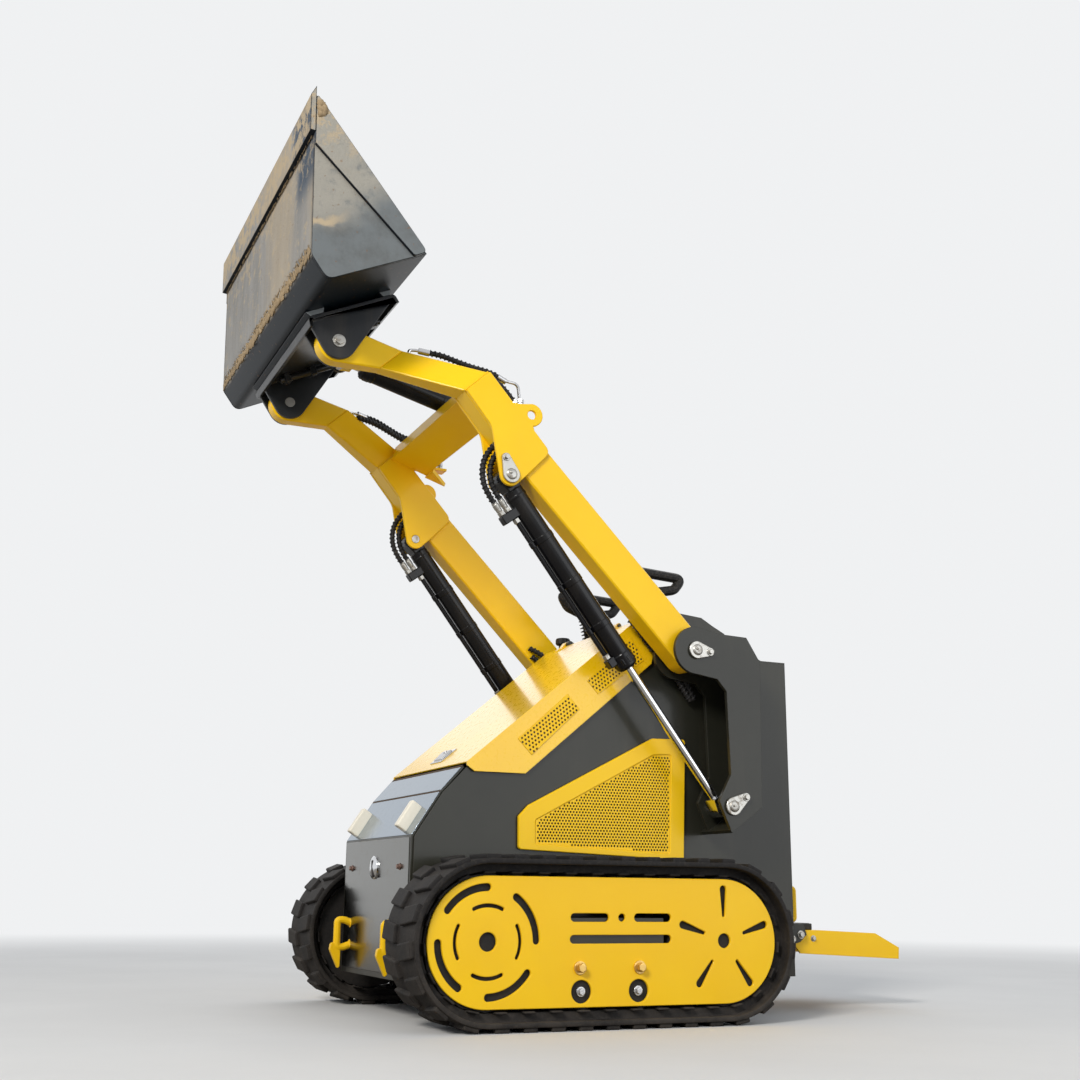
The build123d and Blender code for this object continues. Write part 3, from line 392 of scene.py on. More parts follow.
metals = {
    # The nose's slope sheets: bluish metal that paints the sky's reflection in the glossy dark paint
    "noseSkyReflection": {"colour": rgb(0.34, 0.40, 0.47), "rough": 0.20, "spots": 0.10, "grain": 400.0},
    "coverSteel": {"colour": rgb(0.19, 0.19, 0.18), "rough": 0.18, "spots": 0.15, "grain": 400.0},
    "chromeRod": {"colour": rgb(0.74, 0.75, 0.77), "rough": 0.10, "spots": 0.12, "grain": 900.0},
    "brightMetal": {"colour": rgb(0.58, 0.58, 0.59), "rough": 0.24, "spots": 0.3, "grain": 500.0},
    "zincSteel": {"colour": rgb(0.42, 0.41, 0.38), "rough": 0.36, "spots": 0.8, "grain": 350.0},
    "brassBolt": {"colour": rgb(0.72, 0.48, 0.16), "rough": 0.30, "spots": 0.5, "grain": 300.0},
    "rustyBolt": {"colour": rgb(0.30, 0.20, 0.17), "rough": 0.45, "spots": 0.9, "grain": 260.0},
    "edgeSteel": {"colour": rgb(0.30, 0.28, 0.26), "rough": 0.45, "spots": 0.8, "grain": 160.0},
}


def metalFinish(name, colour, rough, spots, grain):
    material, tree, shader, place = newMaterial(name)
    stain = times(tree, ranged(tree, noisy(tree, place, 38.0, 6.0, 0.7), 0.52, 0.72), spots)
    feed(tree, shader, colour=mixed(tree, stain, colour, rgb(0.20, 0.15, 0.10)),
         metal=maths(tree, "SUBTRACT", 1.0, times(tree, stain, 0.6)),
         rough=blended(tree, stain, rough, 0.7), normal=grainNormal(tree, grain, 0.00004, 0.0, eased=0.0015))
    return material


matts = {
    "trackRubber": {"colour": rgb(0.012, 0.011, 0.011), "dust": rgb(0.095, 0.080, 0.066), "amount": 0.45,
                    "to": 0.42, "rough": 0.66, "grain": 220.0, "fine": 0.0005, "scale": 11.0},
    "castIron": {"colour": rgb(0.012, 0.012, 0.012), "dust": rgb(0.07, 0.055, 0.045), "amount": 0.3,
                 "to": 0.5, "rough": 0.6, "grain": 260.0, "fine": 0.0004, "scale": 14.0},
    "engineIron": {"colour": rgb(0.03, 0.03, 0.03), "dust": rgb(0.16, 0.13, 0.10), "amount": 0.4,
                   "to": 0.8, "rough": 0.6, "grain": 200.0, "fine": 0.0004, "scale": 9.0},
    "blackPlastic": {"colour": rgb(0.012, 0.012, 0.012), "dust": rgb(0.20, 0.17, 0.14), "amount": 0.10,
                     "to": 1.4, "rough": 0.42, "grain": 700.0, "fine": 0.0001, "scale": 20.0},
    "hoseRubber": {"colour": rgb(0.012, 0.012, 0.013), "dust": rgb(0.16, 0.14, 0.12), "amount": 0.10,
                   "to": 1.9, "rough": 0.55, "grain": 500.0, "fine": 0.0001, "scale": 24.0},
    "wrapPlastic": {"colour": rgb(0.018, 0.018, 0.020), "dust": rgb(0.30, 0.28, 0.26), "amount": 0.12,
                    "to": 1.9, "rough": 0.30, "grain": 500.0, "fine": 0.00005, "scale": 24.0},
    "driedSand": {"colour": rgb(0.33, 0.24, 0.14), "dust": rgb(0.50, 0.39, 0.25), "amount": 0.8,
                  "to": 2.6, "rough": 0.92, "grain": 160.0, "fine": 0.0014, "scale": 30.0},
}


def mattFinish(name, colour, dust, amount, to, rough, grain, fine, scale):
    material, tree, shader, place = newMaterial(name)
    dirt = useGroup(tree, settledDust, "Mask", Low=0.0, High=to, Amount=amount, Scale=scale, OnTop=0.5)
    speckle = ranged(tree, noisy(tree, place, 120.0, 4.0, 0.7), 0.45, 0.8)
    tone = mixed(tree, times(tree, speckle, 0.25), colour, dust)
    feed(tree, shader, colour=mixed(tree, dirt, tone, dust),
         rough=plus(tree, rough, times(tree, dirt, 0.25), clamp=True),
         normal=grainNormal(tree, grain, fine, 0.0))
    shader.inputs["Specular IOR Level"].default_value = 0.22
    return material


# Bucket: charcoal paint, its sides rubbed grey, its floor caked with streaks of dried sand, and a painted sky
# reflection on a wiped patch of the floor near the tip
bucketTones = {"paint": rgb(0.005, 0.009, 0.014), "scuff": rgb(0.045, 0.045, 0.045),
               "side": rgb(0.16, 0.175, 0.18), "sideDark": rgb(0.115, 0.120, 0.118),
               "floor": rgb(0.32, 0.31, 0.295), "floorDark": rgb(0.22, 0.215, 0.20),
               "sand": rgb(0.46, 0.37, 0.25), "film": rgb(0.35, 0.33, 0.285), "rust": rgb(0.20, 0.10, 0.04),
               "sky": rgb(0.045, 0.072, 0.11)}
# Where each mark begins and is full, in metres; film and streak are measured up and forward together
bucketMarks = {"tip": (2.06, 2.26), "mottled": (1.85, 2.15), "film": (2.66, 2.80), "streak": 2.735,
               "streakFrom": (0.86, 0.93), "wipedAcross": (0.34, 0.40), "wipedAbove": (2.02, 2.12)}


def bucketFinish(name):
    material, tree, shader, place = newMaterial(name)
    tones, marks = bucketTones, bucketMarks
    forward, across, height = put(tree, "SeparateXYZ", {0: place}).outputs
    facingX, facingY = put(tree, "SeparateXYZ", {0: put(tree, "TexCoord").outputs["Normal"]}).outputs[:2]
    onSide = ranged(tree, maths(tree, "ABSOLUTE", facingY), 0.75, 0.92)
    onFloor = ranged(tree, facingX, 0.80, 0.97)
    both = maths(tree, "MAXIMUM", onSide, onFloor)
    nearTip = times(tree, ranged(tree, height, *marks["tip"]), both)
    flow = put(tree, "Mapping", {0: place, 3: (1.0, 1.0, 0.16)}).outputs[0]

    rising = plus(tree, height, times(tree, forward, 0.71))
    rising = plus(tree, rising, times(tree, noisy(tree, place, 6.0, 5.0, 0.6), 0.22))
    film = times(tree, ranged(tree, rising, *marks["film"]), 0.95)
    film = times(tree, film, ranged(tree, noisy(tree, place, 16.0, 6.0, 0.7), 0.22, 0.52))
    fromStreak = maths(tree, "ABSOLUTE", maths(tree, "SUBTRACT", rising, marks["streak"]))
    streak = times(tree, ranged(tree, fromStreak, 0.024, 0.006), ranged(tree, forward, *marks["streakFrom"]))
    thick = plus(tree, noisy(tree, place, 22.0, 8.0, 0.75), times(tree, nearTip, 0.10))
    caking = maths(tree, "MAXIMUM", nearTip, times(tree, onFloor, 0.7))
    cakes = times(tree, ranged(tree, thick, 0.55, 0.63), caking)

    clouds = ranged(tree, noisy(tree, place, 7.0, 6.0, 0.65), 0.3, 0.7)
    mottled = mixed(tree, clouds, tones["paint"], tones["scuff"])
    colour = mixed(tree, times(tree, ranged(tree, height, *marks["mottled"]), 0.35), tones["paint"], mottled)
    rubbed = ranged(tree, noisy(tree, place, 11.0, 7.0, 0.7), 0.4, 0.75)
    side = mixed(tree, rubbed, tones["side"], tones["sideDark"])
    side = mixed(tree, film, side, tones["film"])
    side = mixed(tree, streak, side, tones["sand"])
    colour = mixed(tree, onSide, colour, side)
    runs = ranged(tree, noisy(tree, flow, 13.0, 8.0, 0.68), 0.34, 0.66)
    floor = mixed(tree, times(tree, runs, 0.6), tones["floor"], tones["floorDark"])
    tanned = times(tree, ranged(tree, noisy(tree, flow, 3.5, 4.0), 0.50, 0.64), 0.5)
    floor = mixed(tree, tanned, floor, tones["sand"])
    # A wiped patch of the floor near the tip, where the clean paint gets a painted reflection of the sky
    wipedSkyReflection = times(tree, ranged(tree, across, *marks["wipedAcross"]), ranged(tree, height, *marks["wipedAbove"]))
    floor = mixed(tree, times(tree, wipedSkyReflection, 0.85), floor, tones["sky"])
    colour = mixed(tree, onFloor, colour, floor)
    colour = mixed(tree, cakes, colour, tones["sand"])
    specks = ranged(tree, noisy(tree, place, 75.0, 3.0), 0.66, 0.72)
    colour = mixed(tree, times(tree, specks, 0.5), colour, tones["rust"])
    bare = useGroup(tree, edgeWear, "Mask", Width=0.005, Amount=0.7, Scale=30.0)
    colour = mixed(tree, bare, colour, tones["scuff"])

    caked = maths(tree, "MAXIMUM", maths(tree, "MAXIMUM", cakes, film), times(tree, onFloor, 0.6))
    crust = times(tree, times(tree, caked, noisy(tree, place, 130.0, 6.0, 0.7)), 0.003)
    edges = put(tree, "Bevel", {"Radius": 0.003}, samples=4).outputs[0]
    bump = put(tree, "Bump", {"Height": crust, "Distance": 1.0, "Strength": 0.8, "Normal": edges}).outputs[0]
    feed(tree, shader, colour=colour, rough=blended(tree, caked, 0.36, 0.9), normal=bump)
    shader.inputs["Specular IOR Level"].default_value = 0.15
    return material


# Painted shade put where holes, grilles and the nose's seams show only shade: a near-black and a shaded
# yellow-brown
behind = {"dark": rgb(0.012, 0.007, 0.003), "shadedBrown": rgb(0.085, 0.040, 0.008)}


def shadowFinish():  # painted shade, a near-black mixed by noise with a shaded brown, for what shows through holes, grilles and seams
    material, tree, shader, place = newMaterial("paintedShadeBehindHoles")
    feed(tree, shader, colour=mixed(tree, noisy(tree, place, 60.0), behind["dark"], behind["shadedBrown"]), rough=0.8)
    return material


finishes = {name: paintFinish(name, **values) for name, values in paints.items()}
finishes.update({name: metalFinish(name, **values) for name, values in metals.items()})
finishes.update({name: mattFinish(name, **values) for name, values in matts.items()})
finishes["bucketPaint"] = bucketFinish("bucketPaint")
finishes["paintedShadeBehindHoles"] = shadowFinish()
slotFinish = {"yellow_paint": "yellowPaint", "dark_paint": "darkPaint", "black_paint": "cylinderBlack",
              "bucket_paint": "bucketPaint", "edge_steel": "edgeSteel", "track_rubber": "trackRubber",
              "cast_wheels": "castIron", "engine_iron": "engineIron", "chrome_rod": "chromeRod",
              "bright_metal": "brightMetal", "zinc_steel": "zincSteel", "black_plastic": "blackPlastic",
              "lamp_lens": "lampCream", "hose_rubber": "hoseRubber"}
nodeFinish = {"hood": "hoodYellow"}  # solids whose finish isn't their slot's

for part in frame["record"]["subparts"]:
    mesh = nodes[part["node"]].data
    mesh.materials.clear()
    mesh.materials.append(finishes[nodeFinish.get(part["node"], slotFinish[part["material_slot"]])])
for piece, finish in clothed:
    piece.data.materials.clear()
    piece.data.materials.append(finishes[finish])
print("Finishes made:", len(finishes))


# Mesh building

def addPiece(name, mesh, body, finish, stands=()):
    piece = bpy.data.objects.new(name, mesh)
    bpy.context.scene.collection.objects.link(piece)
    mesh.materials.clear()
    mesh.materials.append(finishes[finish])
    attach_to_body(piece, body)
    if stands:
        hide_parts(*stands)
    return piece


# Faces that meet at less than the given angle look smooth; beside a far narrower face only below the slight one
smoothing = {"slight": 13, "narrower": 6}


def meshFrom(bm, name, smoothTo=30):  # a finished mesh
    bmesh.ops.recalc_face_normals(bm, faces=bm.faces)
    for face in bm.faces:
        face.smooth = True
    for edge in bm.edges:
        areas = sorted(face.calc_area() for face in edge.link_faces) or [0]
        alike = areas[-1] < smoothing["narrower"] * areas[0]
        edge.smooth = edge.calc_face_angle(pi) < radians(smoothTo if alike else smoothing["slight"])
    mesh = bpy.data.meshes.new(name)
    bm.to_mesh(mesh)
    bm.free()
    return mesh


def joined(name, meshes, smoothTo=30):  # several meshes made into one
    bm = bmesh.new()
    for mesh in meshes:
        bm.from_mesh(mesh)
        bpy.data.meshes.remove(mesh)
    return meshFrom(bm, name, smoothTo)


def bevelled(bm, edges, offset, segments=2):
    bmesh.ops.bevel(bm, geom=edges, offset=offset, offset_type="OFFSET", affect="EDGES",
                    segments=segments, profile=0.5, material=-1)


def block(bm, size, place, bevel=0.0, segments=2):  # a block centred in a 4x4 place, with eased edges
    made = bmesh.ops.create_cube(bm, size=1.0, matrix=place @ Matrix.Diagonal((*size, 1)))
    if bevel:
        bevelled(bm, list({edge for vert in made["verts"] for edge in vert.link_edges}), bevel, segments)


def rod(bm, radius, length, place, sides=24, bevel=0.0):  # a round or hexagonal bar along local Z
    made = bmesh.ops.create_cone(bm, cap_ends=True, segments=sides, radius1=radius, radius2=radius,
                                 depth=length, matrix=place)
    if bevel:
        caps = [face for face in {face for vert in made["verts"] for face in vert.link_faces}
                if len(face.verts) == sides]
        bevelled(bm, list({edge for face in caps for edge in face.edges}), bevel, 2)


def lathe(bm, profile, place, sides=32):  # a profile of radius and height in millimetres, spun about local Z
    turned = bmesh.new()
    verts = [turned.verts.new((radius / 1000, 0, height / 1000)) for radius, height in profile]
    edges = [turned.edges.new(pair) for pair in zip(verts, verts[1:])]
    bmesh.ops.spin(turned, geom=verts + edges, cent=(0, 0, 0), axis=(0, 0, 1), dvec=(0, 0, 0),
                   angle=2 * pi, steps=sides, use_merge=True)
    bmesh.ops.remove_doubles(turned, verts=turned.verts, dist=1e-6)
    bmesh.ops.transform(turned, matrix=place, verts=turned.verts)
    mesh = bpy.data.meshes.new("turned")
    turned.to_mesh(mesh)
    turned.free()
    bm.from_mesh(mesh)
    bpy.data.meshes.remove(mesh)


def facing(point, towards):  # a place at a point, with local Z along a direction
    turn = Vector(towards).normalized().to_track_quat("Z", "Y").to_matrix().to_4x4()
    return Matrix.Translation(point) @ turn


def sideFace(x, z, y):  # a place on a face that looks along +Y
    return facing(spot(x, y, z), (0, 1, 0))


def flatPlate(name, outline, holes, thickness, outerY, bevel=0.0008):
    # A plate in the side view from a flat curve: its outline and holes are lists of X and Z in millimetres
    curve = bpy.data.curves.new(name, "CURVE")
    curve.dimensions = "2D"
    curve.fill_mode = "BOTH"
    curve.extrude = thickness / 2 - bevel
    curve.bevel_depth = bevel
    curve.bevel_resolution = 0
    curve.offset = -bevel
    for points in [outline, *holes]:
        spline = curve.splines.new("POLY")
        spline.points.add(len(points) - 1)
        for point, (x, z) in zip(spline.points, points):
            point.co = (drawnX + x / 1000, z / 1000, 0, 1)
        spline.use_cyclic_u = True
    mesh = shownMesh(curve, name)
    mesh.transform(Matrix.Translation((0, outerY - thickness / 2, 0)) @ Matrix.Rotation(pi / 2, 4, "X"))
    bm = bmesh.new()
    bm.from_mesh(mesh)
    bmesh.ops.remove_doubles(bm, verts=bm.verts, dist=1e-6)
    return meshFrom(bm, name)


def mirroredMesh(mesh, name):  # the same mesh on the machine's other side
    bm = bmesh.new()
    bm.from_mesh(mesh)
    bmesh.ops.scale(bm, vec=(1, -1, 1), verts=bm.verts)
    bmesh.ops.reverse_faces(bm, faces=bm.faces)
    other = bpy.data.meshes.new(name)
    bm.to_mesh(other)
    bm.free()
    return other


def bothSides(name, mesh):  # a mesh and its mirror image as one
    return joined(name, [mirroredMesh(mesh, name + "Other"), mesh])


def addPair(name, mesh, body, finish, stands=""):
    # A piece on the left and its mirror image on the right; bodies and nodes that come in pairs end in a star
    for side, shape in (("left", mesh), ("right", mirroredMesh(mesh, name + "Right"))):
        addPiece(name + side.capitalize(), shape, body.replace("*", side), finish,
                 [stands.replace("*", side)] if stands else ())


# Outlines in the side view, as lists of X and Z in millimetres

def ringPoints(centreX, centreZ, radius, count=48):
    return [(centreX + radius * cos(2 * pi * i / count), centreZ + radius * sin(2 * pi * i / count))
            for i in range(count)]


def arcPoints(x, z, radius, first, last, steps=16):
    angles = [radians(first + (last - first) * step / steps) for step in range(steps + 1)]
    return [(x + radius * cos(angle), z + radius * sin(angle)) for angle in angles]


def slotPoints(x, z, length, width, turn=0.0, taper=1.0):  # a round-ended slot, its near end narrower by taper
    points = []
    for end in (1, -1):
        radius = width / 2 * (taper if end < 0 else 1)
        for step in range(13):
            angle = pi / 2 * -end + pi * step / 12
            along, off = end * (length / 2 - radius) + radius * cos(angle), radius * sin(angle)
            points.append((x + along * cos(turn) - off * sin(turn), z + along * sin(turn) + off * cos(turn)))
    return points


def arcSlotPoints(x, z, radius, width, middle, span):  # a round-ended slot bent about a hub, in degrees
    first, last = middle - span / 2, middle + span / 2
    ends = [(x + radius * cos(radians(angle)), z + radius * sin(radians(angle))) for angle in (last, first)]
    return (arcPoints(x, z, radius + width / 2, first, last, 24)
            + arcPoints(*ends[0], width / 2, last, last + 180, 8)[1:-1]
            + arcPoints(x, z, radius - width / 2, last, first, 24)
            + arcPoints(*ends[1], width / 2, first + 180, first + 360, 8)[1:-1])


def eased(start, corner, end, share):  # a point of the curve that rounds a corner
    return start * (1 - share) ** 2 + corner * 2 * share * (1 - share) + end * share ** 2


def rounded(points, steps=5):  # a closed outline; a point's third number is the radius of its corner
    made = []
    for i, point in enumerate(points):
        corner = Vector(point[:2])
        if len(point) < 3:
            made.append(tuple(corner))
            continue
        arriving = corner - Vector(points[i - 1][:2])
        leaving = Vector(points[(i + 1) % len(points)][:2]) - corner
        reach = point[2] * tan(arriving.angle(leaving) / 2)
        reach = min(reach, 0.48 * arriving.length, 0.48 * leaving.length)
        start, end = corner - arriving.normalized() * reach, corner + leaving.normalized() * reach
        for step in range(steps + 1):
            share = step / steps
            made.append(tuple(eased(start, corner, end, share)))
    return made


def hullOutline(*circles):  # the line round several circles, each X, Z and radius; a radius of 0 is a point
    points = []
    for x, z, radius in circles:
        points += ringPoints(x, z, radius) if radius else [(x, z)]
    return [points[i] for i in geometry.convex_hull_2d([Vector(point) for point in points])]


def fromLine(start, end, along, off):  # along the line between two points, and off it to its left
    x, z = end[0] - start[0], end[1] - start[1]
    length = hypot(x, z)
    x, z = x / length, z / length
    return start[0] + x * along - z * off, start[1] + z * along + x * off


def beside(points, distance):  # an open line moved to its right, with mitred corners
    moved = []
    for i, point in enumerate(points):
        arriving = (Vector(point) - Vector(points[i - 1])).normalized() if i else None
        leaving = (Vector(points[i + 1]) - Vector(point)).normalized() if i + 1 < len(points) else None
        arriving, leaving = arriving or leaving, leaving or arriving
        across = arriving + leaving
        out = Vector((across.y, -across.x))
        moved.append(tuple(Vector(point) + out * 2 * distance / out.length_squared))
    return moved


def linePlace(start, end, along, off, y):  # a place beside that line whose local Z points along it
    x, z = fromLine(start, end, along, off)
    return facing(spot(x, y, z), (end[0] - start[0], 0, end[1] - start[1]))


def skinPlace(start, end, along, y, height=0.0):  # a place on a sloping skin: Z out of it, Y up the slope
    x, z = fromLine(start, end, along, 0)
    up = Vector((end[0] - start[0], 0, end[1] - start[1])).normalized()
    out = Vector((up.z, 0, -up.x))
    turn = Matrix((up.cross(out), up, out)).transposed().to_4x4()
    return Matrix.Translation(spot(x, y, z) + out * height / 1000) @ turn


def inside(x, z, outline, margin):  # is a point inside a convex outline and that far from its edges?
    turn = sum(a[0] * b[1] - b[0] * a[1] for a, b in zip(outline, outline[1:] + outline[:1]))
    for a, b in zip(outline, outline[1:] + outline[:1]):
        cross = (b[0] - a[0]) * (z - a[1]) - (b[1] - a[1]) * (x - a[0])
        if cross * (1 if turn > 0 else -1) / hypot(b[0] - a[0], b[1] - a[1]) < margin:
            return False
    return True


def perforated(name, outline, pitch, hole, margin, thickness, outerY, slope=0.0):
    # A sheet with staggered rows of holes; the rows lie along a slope given in degrees
    holes = []
    middle = Vector((sum(p[0] for p in outline), sum(p[1] for p in outline))) / len(outline)
    reach = max((Vector(p) - middle).length for p in outline)
    turn = Matrix.Rotation(radians(slope), 2)
    rise = pitch * 0.866
    for row in range(-int(reach / rise), int(reach / rise) + 1):
        for column in range(-int(reach / pitch), int(reach / pitch) + 1):
            x, z = middle + turn @ Vector(((column + 0.5 * (row % 2)) * pitch, row * rise))
            if inside(x, z, outline, margin):
                holes.append(ringPoints(x, z, hole / 2, 8))
    return flatPlate(name, outline, holes, thickness / 1000, outerY / 1000, 0)


# Bars, welds and bolts

def openRoute(points, bend, steps=6):  # a route in space with its corners rounded
    made = [Vector(points[0])]
    for before, corner, after in zip(points, points[1:], points[2:]):
        arriving, leaving = Vector(corner) - Vector(before), Vector(after) - Vector(corner)
        reach = min(bend * tan(arriving.angle(leaving) / 2), 0.49 * arriving.length, 0.49 * leaving.length)
        start = Vector(corner) - arriving.normalized() * reach
        end = Vector(corner) + leaving.normalized() * reach
        for step in range(steps + 1):
            share = step / steps
            made.append(eased(start, Vector(corner), end, share))
    return made + [Vector(points[-1])]


def bar(name, points, radius, bend=0.0):  # a round bar or pipe; sizes in metres
    route = openRoute(points, bend) if bend else [Vector(point) for point in points]
    return shownMesh(splineCurve(name, route, "POLY", radius), name)


def weldBead(name, points, radius=0.0028):  # a bead with ripples along a line of points in metres
    random.seed(len(name))
    route, sizes = [], []
    for start, end in zip(points, points[1:]):
        steps = max(2, int((end - start).length / 0.0045))
        for step in range(steps):
            route.append(start + (end - start) * step / steps)
            sizes.append(random.uniform(0.75, 1.2))
    curve = splineCurve(name, route + [points[-1]], "POLY", radius)
    curve.bevel_resolution = 1
    for point, size in zip(curve.splines[0].points, sizes):
        point.radius = size
    return shownMesh(curve, name)


def boltMesh(places, name, radius, height, washer=1.45):  # hexagon bolts; each place has Z out of the surface
    bm = bmesh.new()
    for at in places:
        washerAt, headAt = (at @ Matrix.Translation((0, 0, height * share)) for share in (0.15, 0.8))
        rod(bm, radius * washer, height * 0.3, washerAt, 24, height * 0.05)
        rod(bm, radius, height, headAt, 6, height * 0.12)
    return meshFrom(bm, name)


# Rubber tracks: lug and drive values are lengths along, widths across and heights out of the belt
track = {"pitch": 72, "round": 15, "between": 9, "thickness": 24, "inner": 344, "outer": 560, "groove": 40,
         "raised": 8, "rim": 8, "cutsPerPitch": 6, "lug": 19, "lugLength": 37, "lugVaries": 2.22,
         "lugWidth": 89.424, "lugBevel": 3.4, "lane": 58.32, "lean": 0.10, "drive": (30, 44, 24),
         "core": (30, 52, 5), "coreLane": 60}
pitchRadius = track["round"] * track["pitch"] / (2 * pi)
hubSpacing = track["between"] * track["pitch"]
hubZ = pitchRadius + track["thickness"] / 2 + track["lug"]
beltRadius = pitchRadius - track["thickness"] / 2


def beltPlace(distance, height, y):  # along the belt's pitch line, out from it, and across
    bend = pi * pitchRadius
    distance %= 2 * (hubSpacing + bend)
    if distance < hubSpacing:
        return spot(distance - hubSpacing / 2, y, hubZ + pitchRadius + height)
    distance -= hubSpacing
    side, angle = 1, pi / 2
    if distance >= bend:
        distance -= bend
        if distance < hubSpacing:
            return spot(hubSpacing / 2 - distance, y, hubZ - pitchRadius - height)
        distance -= hubSpacing
        side, angle = -1, -pi / 2
    angle -= distance / pitchRadius
    reach = pitchRadius + height
    return spot(side * hubSpacing / 2 + reach * cos(angle), y, hubZ + reach * sin(angle))


def addLug(bm, along, y, slant):  # a ground lug: a skewed block, drawn straight and bent to the belt later
    height, half = track["lug"] - track["raised"] + 3, track["thickness"] / 2
    length = track["lugLength"] + random.uniform(-track["lugVaries"], track["lugVaries"])
    skew = Matrix(((1, slant, 0, 0), (0, 1, 0, 0), (0, 0, 1, 0), (0, 0, 0, 1)))
    place = Matrix.Translation((along, y, half + track["lug"] - height / 2)) @ skew
    block(bm, (length, track["lugWidth"], height), place, track["lugBevel"])


def longEdges(bm, least):  # the edges that run along a straight belt
    return [edge for edge in bm.edges if abs(edge.verts[0].co.x - edge.verts[1].co.x) > least]


def trackMesh():
    pitch, half, rim = track["pitch"], track["thickness"] / 2, track["rim"]
    width = track["outer"] - track["inner"]
    middle = (track["outer"] + track["inner"]) / 2
    turns = track["round"] + 2 * track["between"]
    length = pitch * turns
    bm = bmesh.new()
    for low, high, narrowed in ((rim, half + track["raised"], 0), (-half, rim + 2, track["groove"])):
        block(bm, (length, width - 2 * narrowed, high - low),
              Matrix.Translation((length / 2, middle, (low + high) / 2)))
    ends = [face for face in bm.faces if abs(face.normal.x) > 0.9]
    bmesh.ops.delete(bm, geom=ends, context="FACES_ONLY")
    bevelled(bm, longEdges(bm, length / 2), 2.5)
    bmesh.ops.subdivide_edges(bm, edges=longEdges(bm, length / 2), cuts=turns * track["cutsPerPitch"] - 1,
                              use_grid_fill=True)
    random.seed(4)
    driveLength, driveWidth, driveHeight = track["drive"]
    for i in range(turns):
        along = (i + 0.5) * pitch
        addLug(bm, along, middle - track["lane"], track["lean"])
        addLug(bm, along + pitch / 2, middle + track["lane"], -track["lean"])
        drive = Matrix.Translation((i * pitch, middle, -half - driveHeight / 2 + 1))
        block(bm, (driveLength, driveWidth, driveHeight + 2), drive, 3)
        for lane in (-track["coreLane"], track["coreLane"]):
            block(bm, track["core"], Matrix.Translation((i * pitch, middle + lane, -half)), 1.5, 1)
    for vert in bm.verts:
        vert.co = beltPlace(vert.co.x, vert.co.z, vert.co.y)
    bmesh.ops.remove_doubles(bm, verts=bm.verts, dist=1e-5)
    return meshFrom(bm, "trackBelt", 40)


addPair("trackBelt", trackMesh(), "chassis", "trackRubber", "track_*")
print("Tracks made")


# Guard plates over the running gear: bent slots about the front hub (radius, width, span and first angle), five
# spokes about the rear one, straight slots (from, to and height) and round holes (place and size) between them
guard = {"gap": 8, "outerY": 532, "thickness": 8, "hub": 324, "rings": ((125, 18, 54, 28), (83, 9, 52, 0)),
         "spokes": 5, "spokeAt": 97, "spokeSize": (78, 19), "spokeTaper": 0.45,
         "slots": ((4, 108, 56), (-170, -66, 56), (-170, 110, 5)), "slotWidth": 20,
         "holes": ((324, 0, 22), (-324, 0, 18), (-31.5, 56, 9.5)),
         "rollers": (79, -77), "rollerUp": 44, "rollerHole": 27, "brass": (84, -79), "brassZ": 142}
rollerZ = hubZ - beltRadius + guard["rollerUp"]


def guardPlateMesh():
    hub, radius = guard["hub"], beltRadius - guard["gap"]
    outline = arcPoints(hub, hubZ, radius, -90, 90, 48) + arcPoints(-hub, hubZ, radius, 90, 270, 48)
    holes = [arcSlotPoints(hub, hubZ, ringRadius, width, 180 - first - 90 * turn, span)
             for ringRadius, width, span, first in guard["rings"] for turn in range(4)]
    for turn in range(guard["spokes"]):
        angle = pi / 2 + 2 * pi * turn / guard["spokes"]
        x, z = -hub + guard["spokeAt"] * cos(angle), hubZ + guard["spokeAt"] * sin(angle)
        holes.append(slotPoints(x, z, *guard["spokeSize"], angle, guard["spokeTaper"]))
    for low, high, z in guard["slots"]:
        holes.append(slotPoints((low + high) / 2, hubZ + z, high - low, guard["slotWidth"]))
    holes += [ringPoints(x, hubZ + z, size) for x, z, size in guard["holes"]]
    holes += [ringPoints(x, rollerZ, guard["rollerHole"]) for x in guard["rollers"]]
    return flatPlate("guardPlate", outline, holes, guard["thickness"] / 1000, guard["outerY"] / 1000, 0.0012)


def rollerNutMesh():
    bm = bmesh.new()
    for x in guard["rollers"]:
        at = sideFace(x, rollerZ, guard["outerY"] - 6)
        rod(bm, 0.012, 0.006, at, 24, 0.001)
        rod(bm, 0.0085, 0.014, at @ Matrix.Translation((0, 0, 0.004)), 6, 0.001)
    return meshFrom(bm, "rollerNuts")


addPair("guardPlate", guardPlateMesh(), "chassis", "yellowPaint", "guard_plate_*")
brassSpots = [sideFace(x, guard["brassZ"], guard["outerY"]) for x in guard["brass"]]
addPair("guardBolts", boltMesh(brassSpots, "guardBolts", 0.011, 0.014), "chassis", "brassBolt")
addPair("rollerNuts", rollerNutMesh(), "chassis", "brightMetal")
print("Running gear made")


# Bucket: one folded shell with a plate at each side, a bolted edge, and the hooks behind it
bucket = {"tip": (849, 2308), "heelFront": (837, 1858), "heelRear": (793, 1799), "lip": (533, 1924),
          "half": 535, "sheet": 8, "bend": 26, "hooks": ((4, 60), (225, 262)), "hookHalf": 310, "hook": 14,
          "cutter": 10, "outer": 545, "cutterReach": (145, 40), "cutterHole": (52, -17, 12),
          "edge": 14, "edgeReach": (-18, 112), "edgeBevel": 26, "hookSlope": 8, "weld": 0.0032}
tip, heelFront, heelRear, lip = bucket["tip"], bucket["heelFront"], bucket["heelRear"], bucket["lip"]


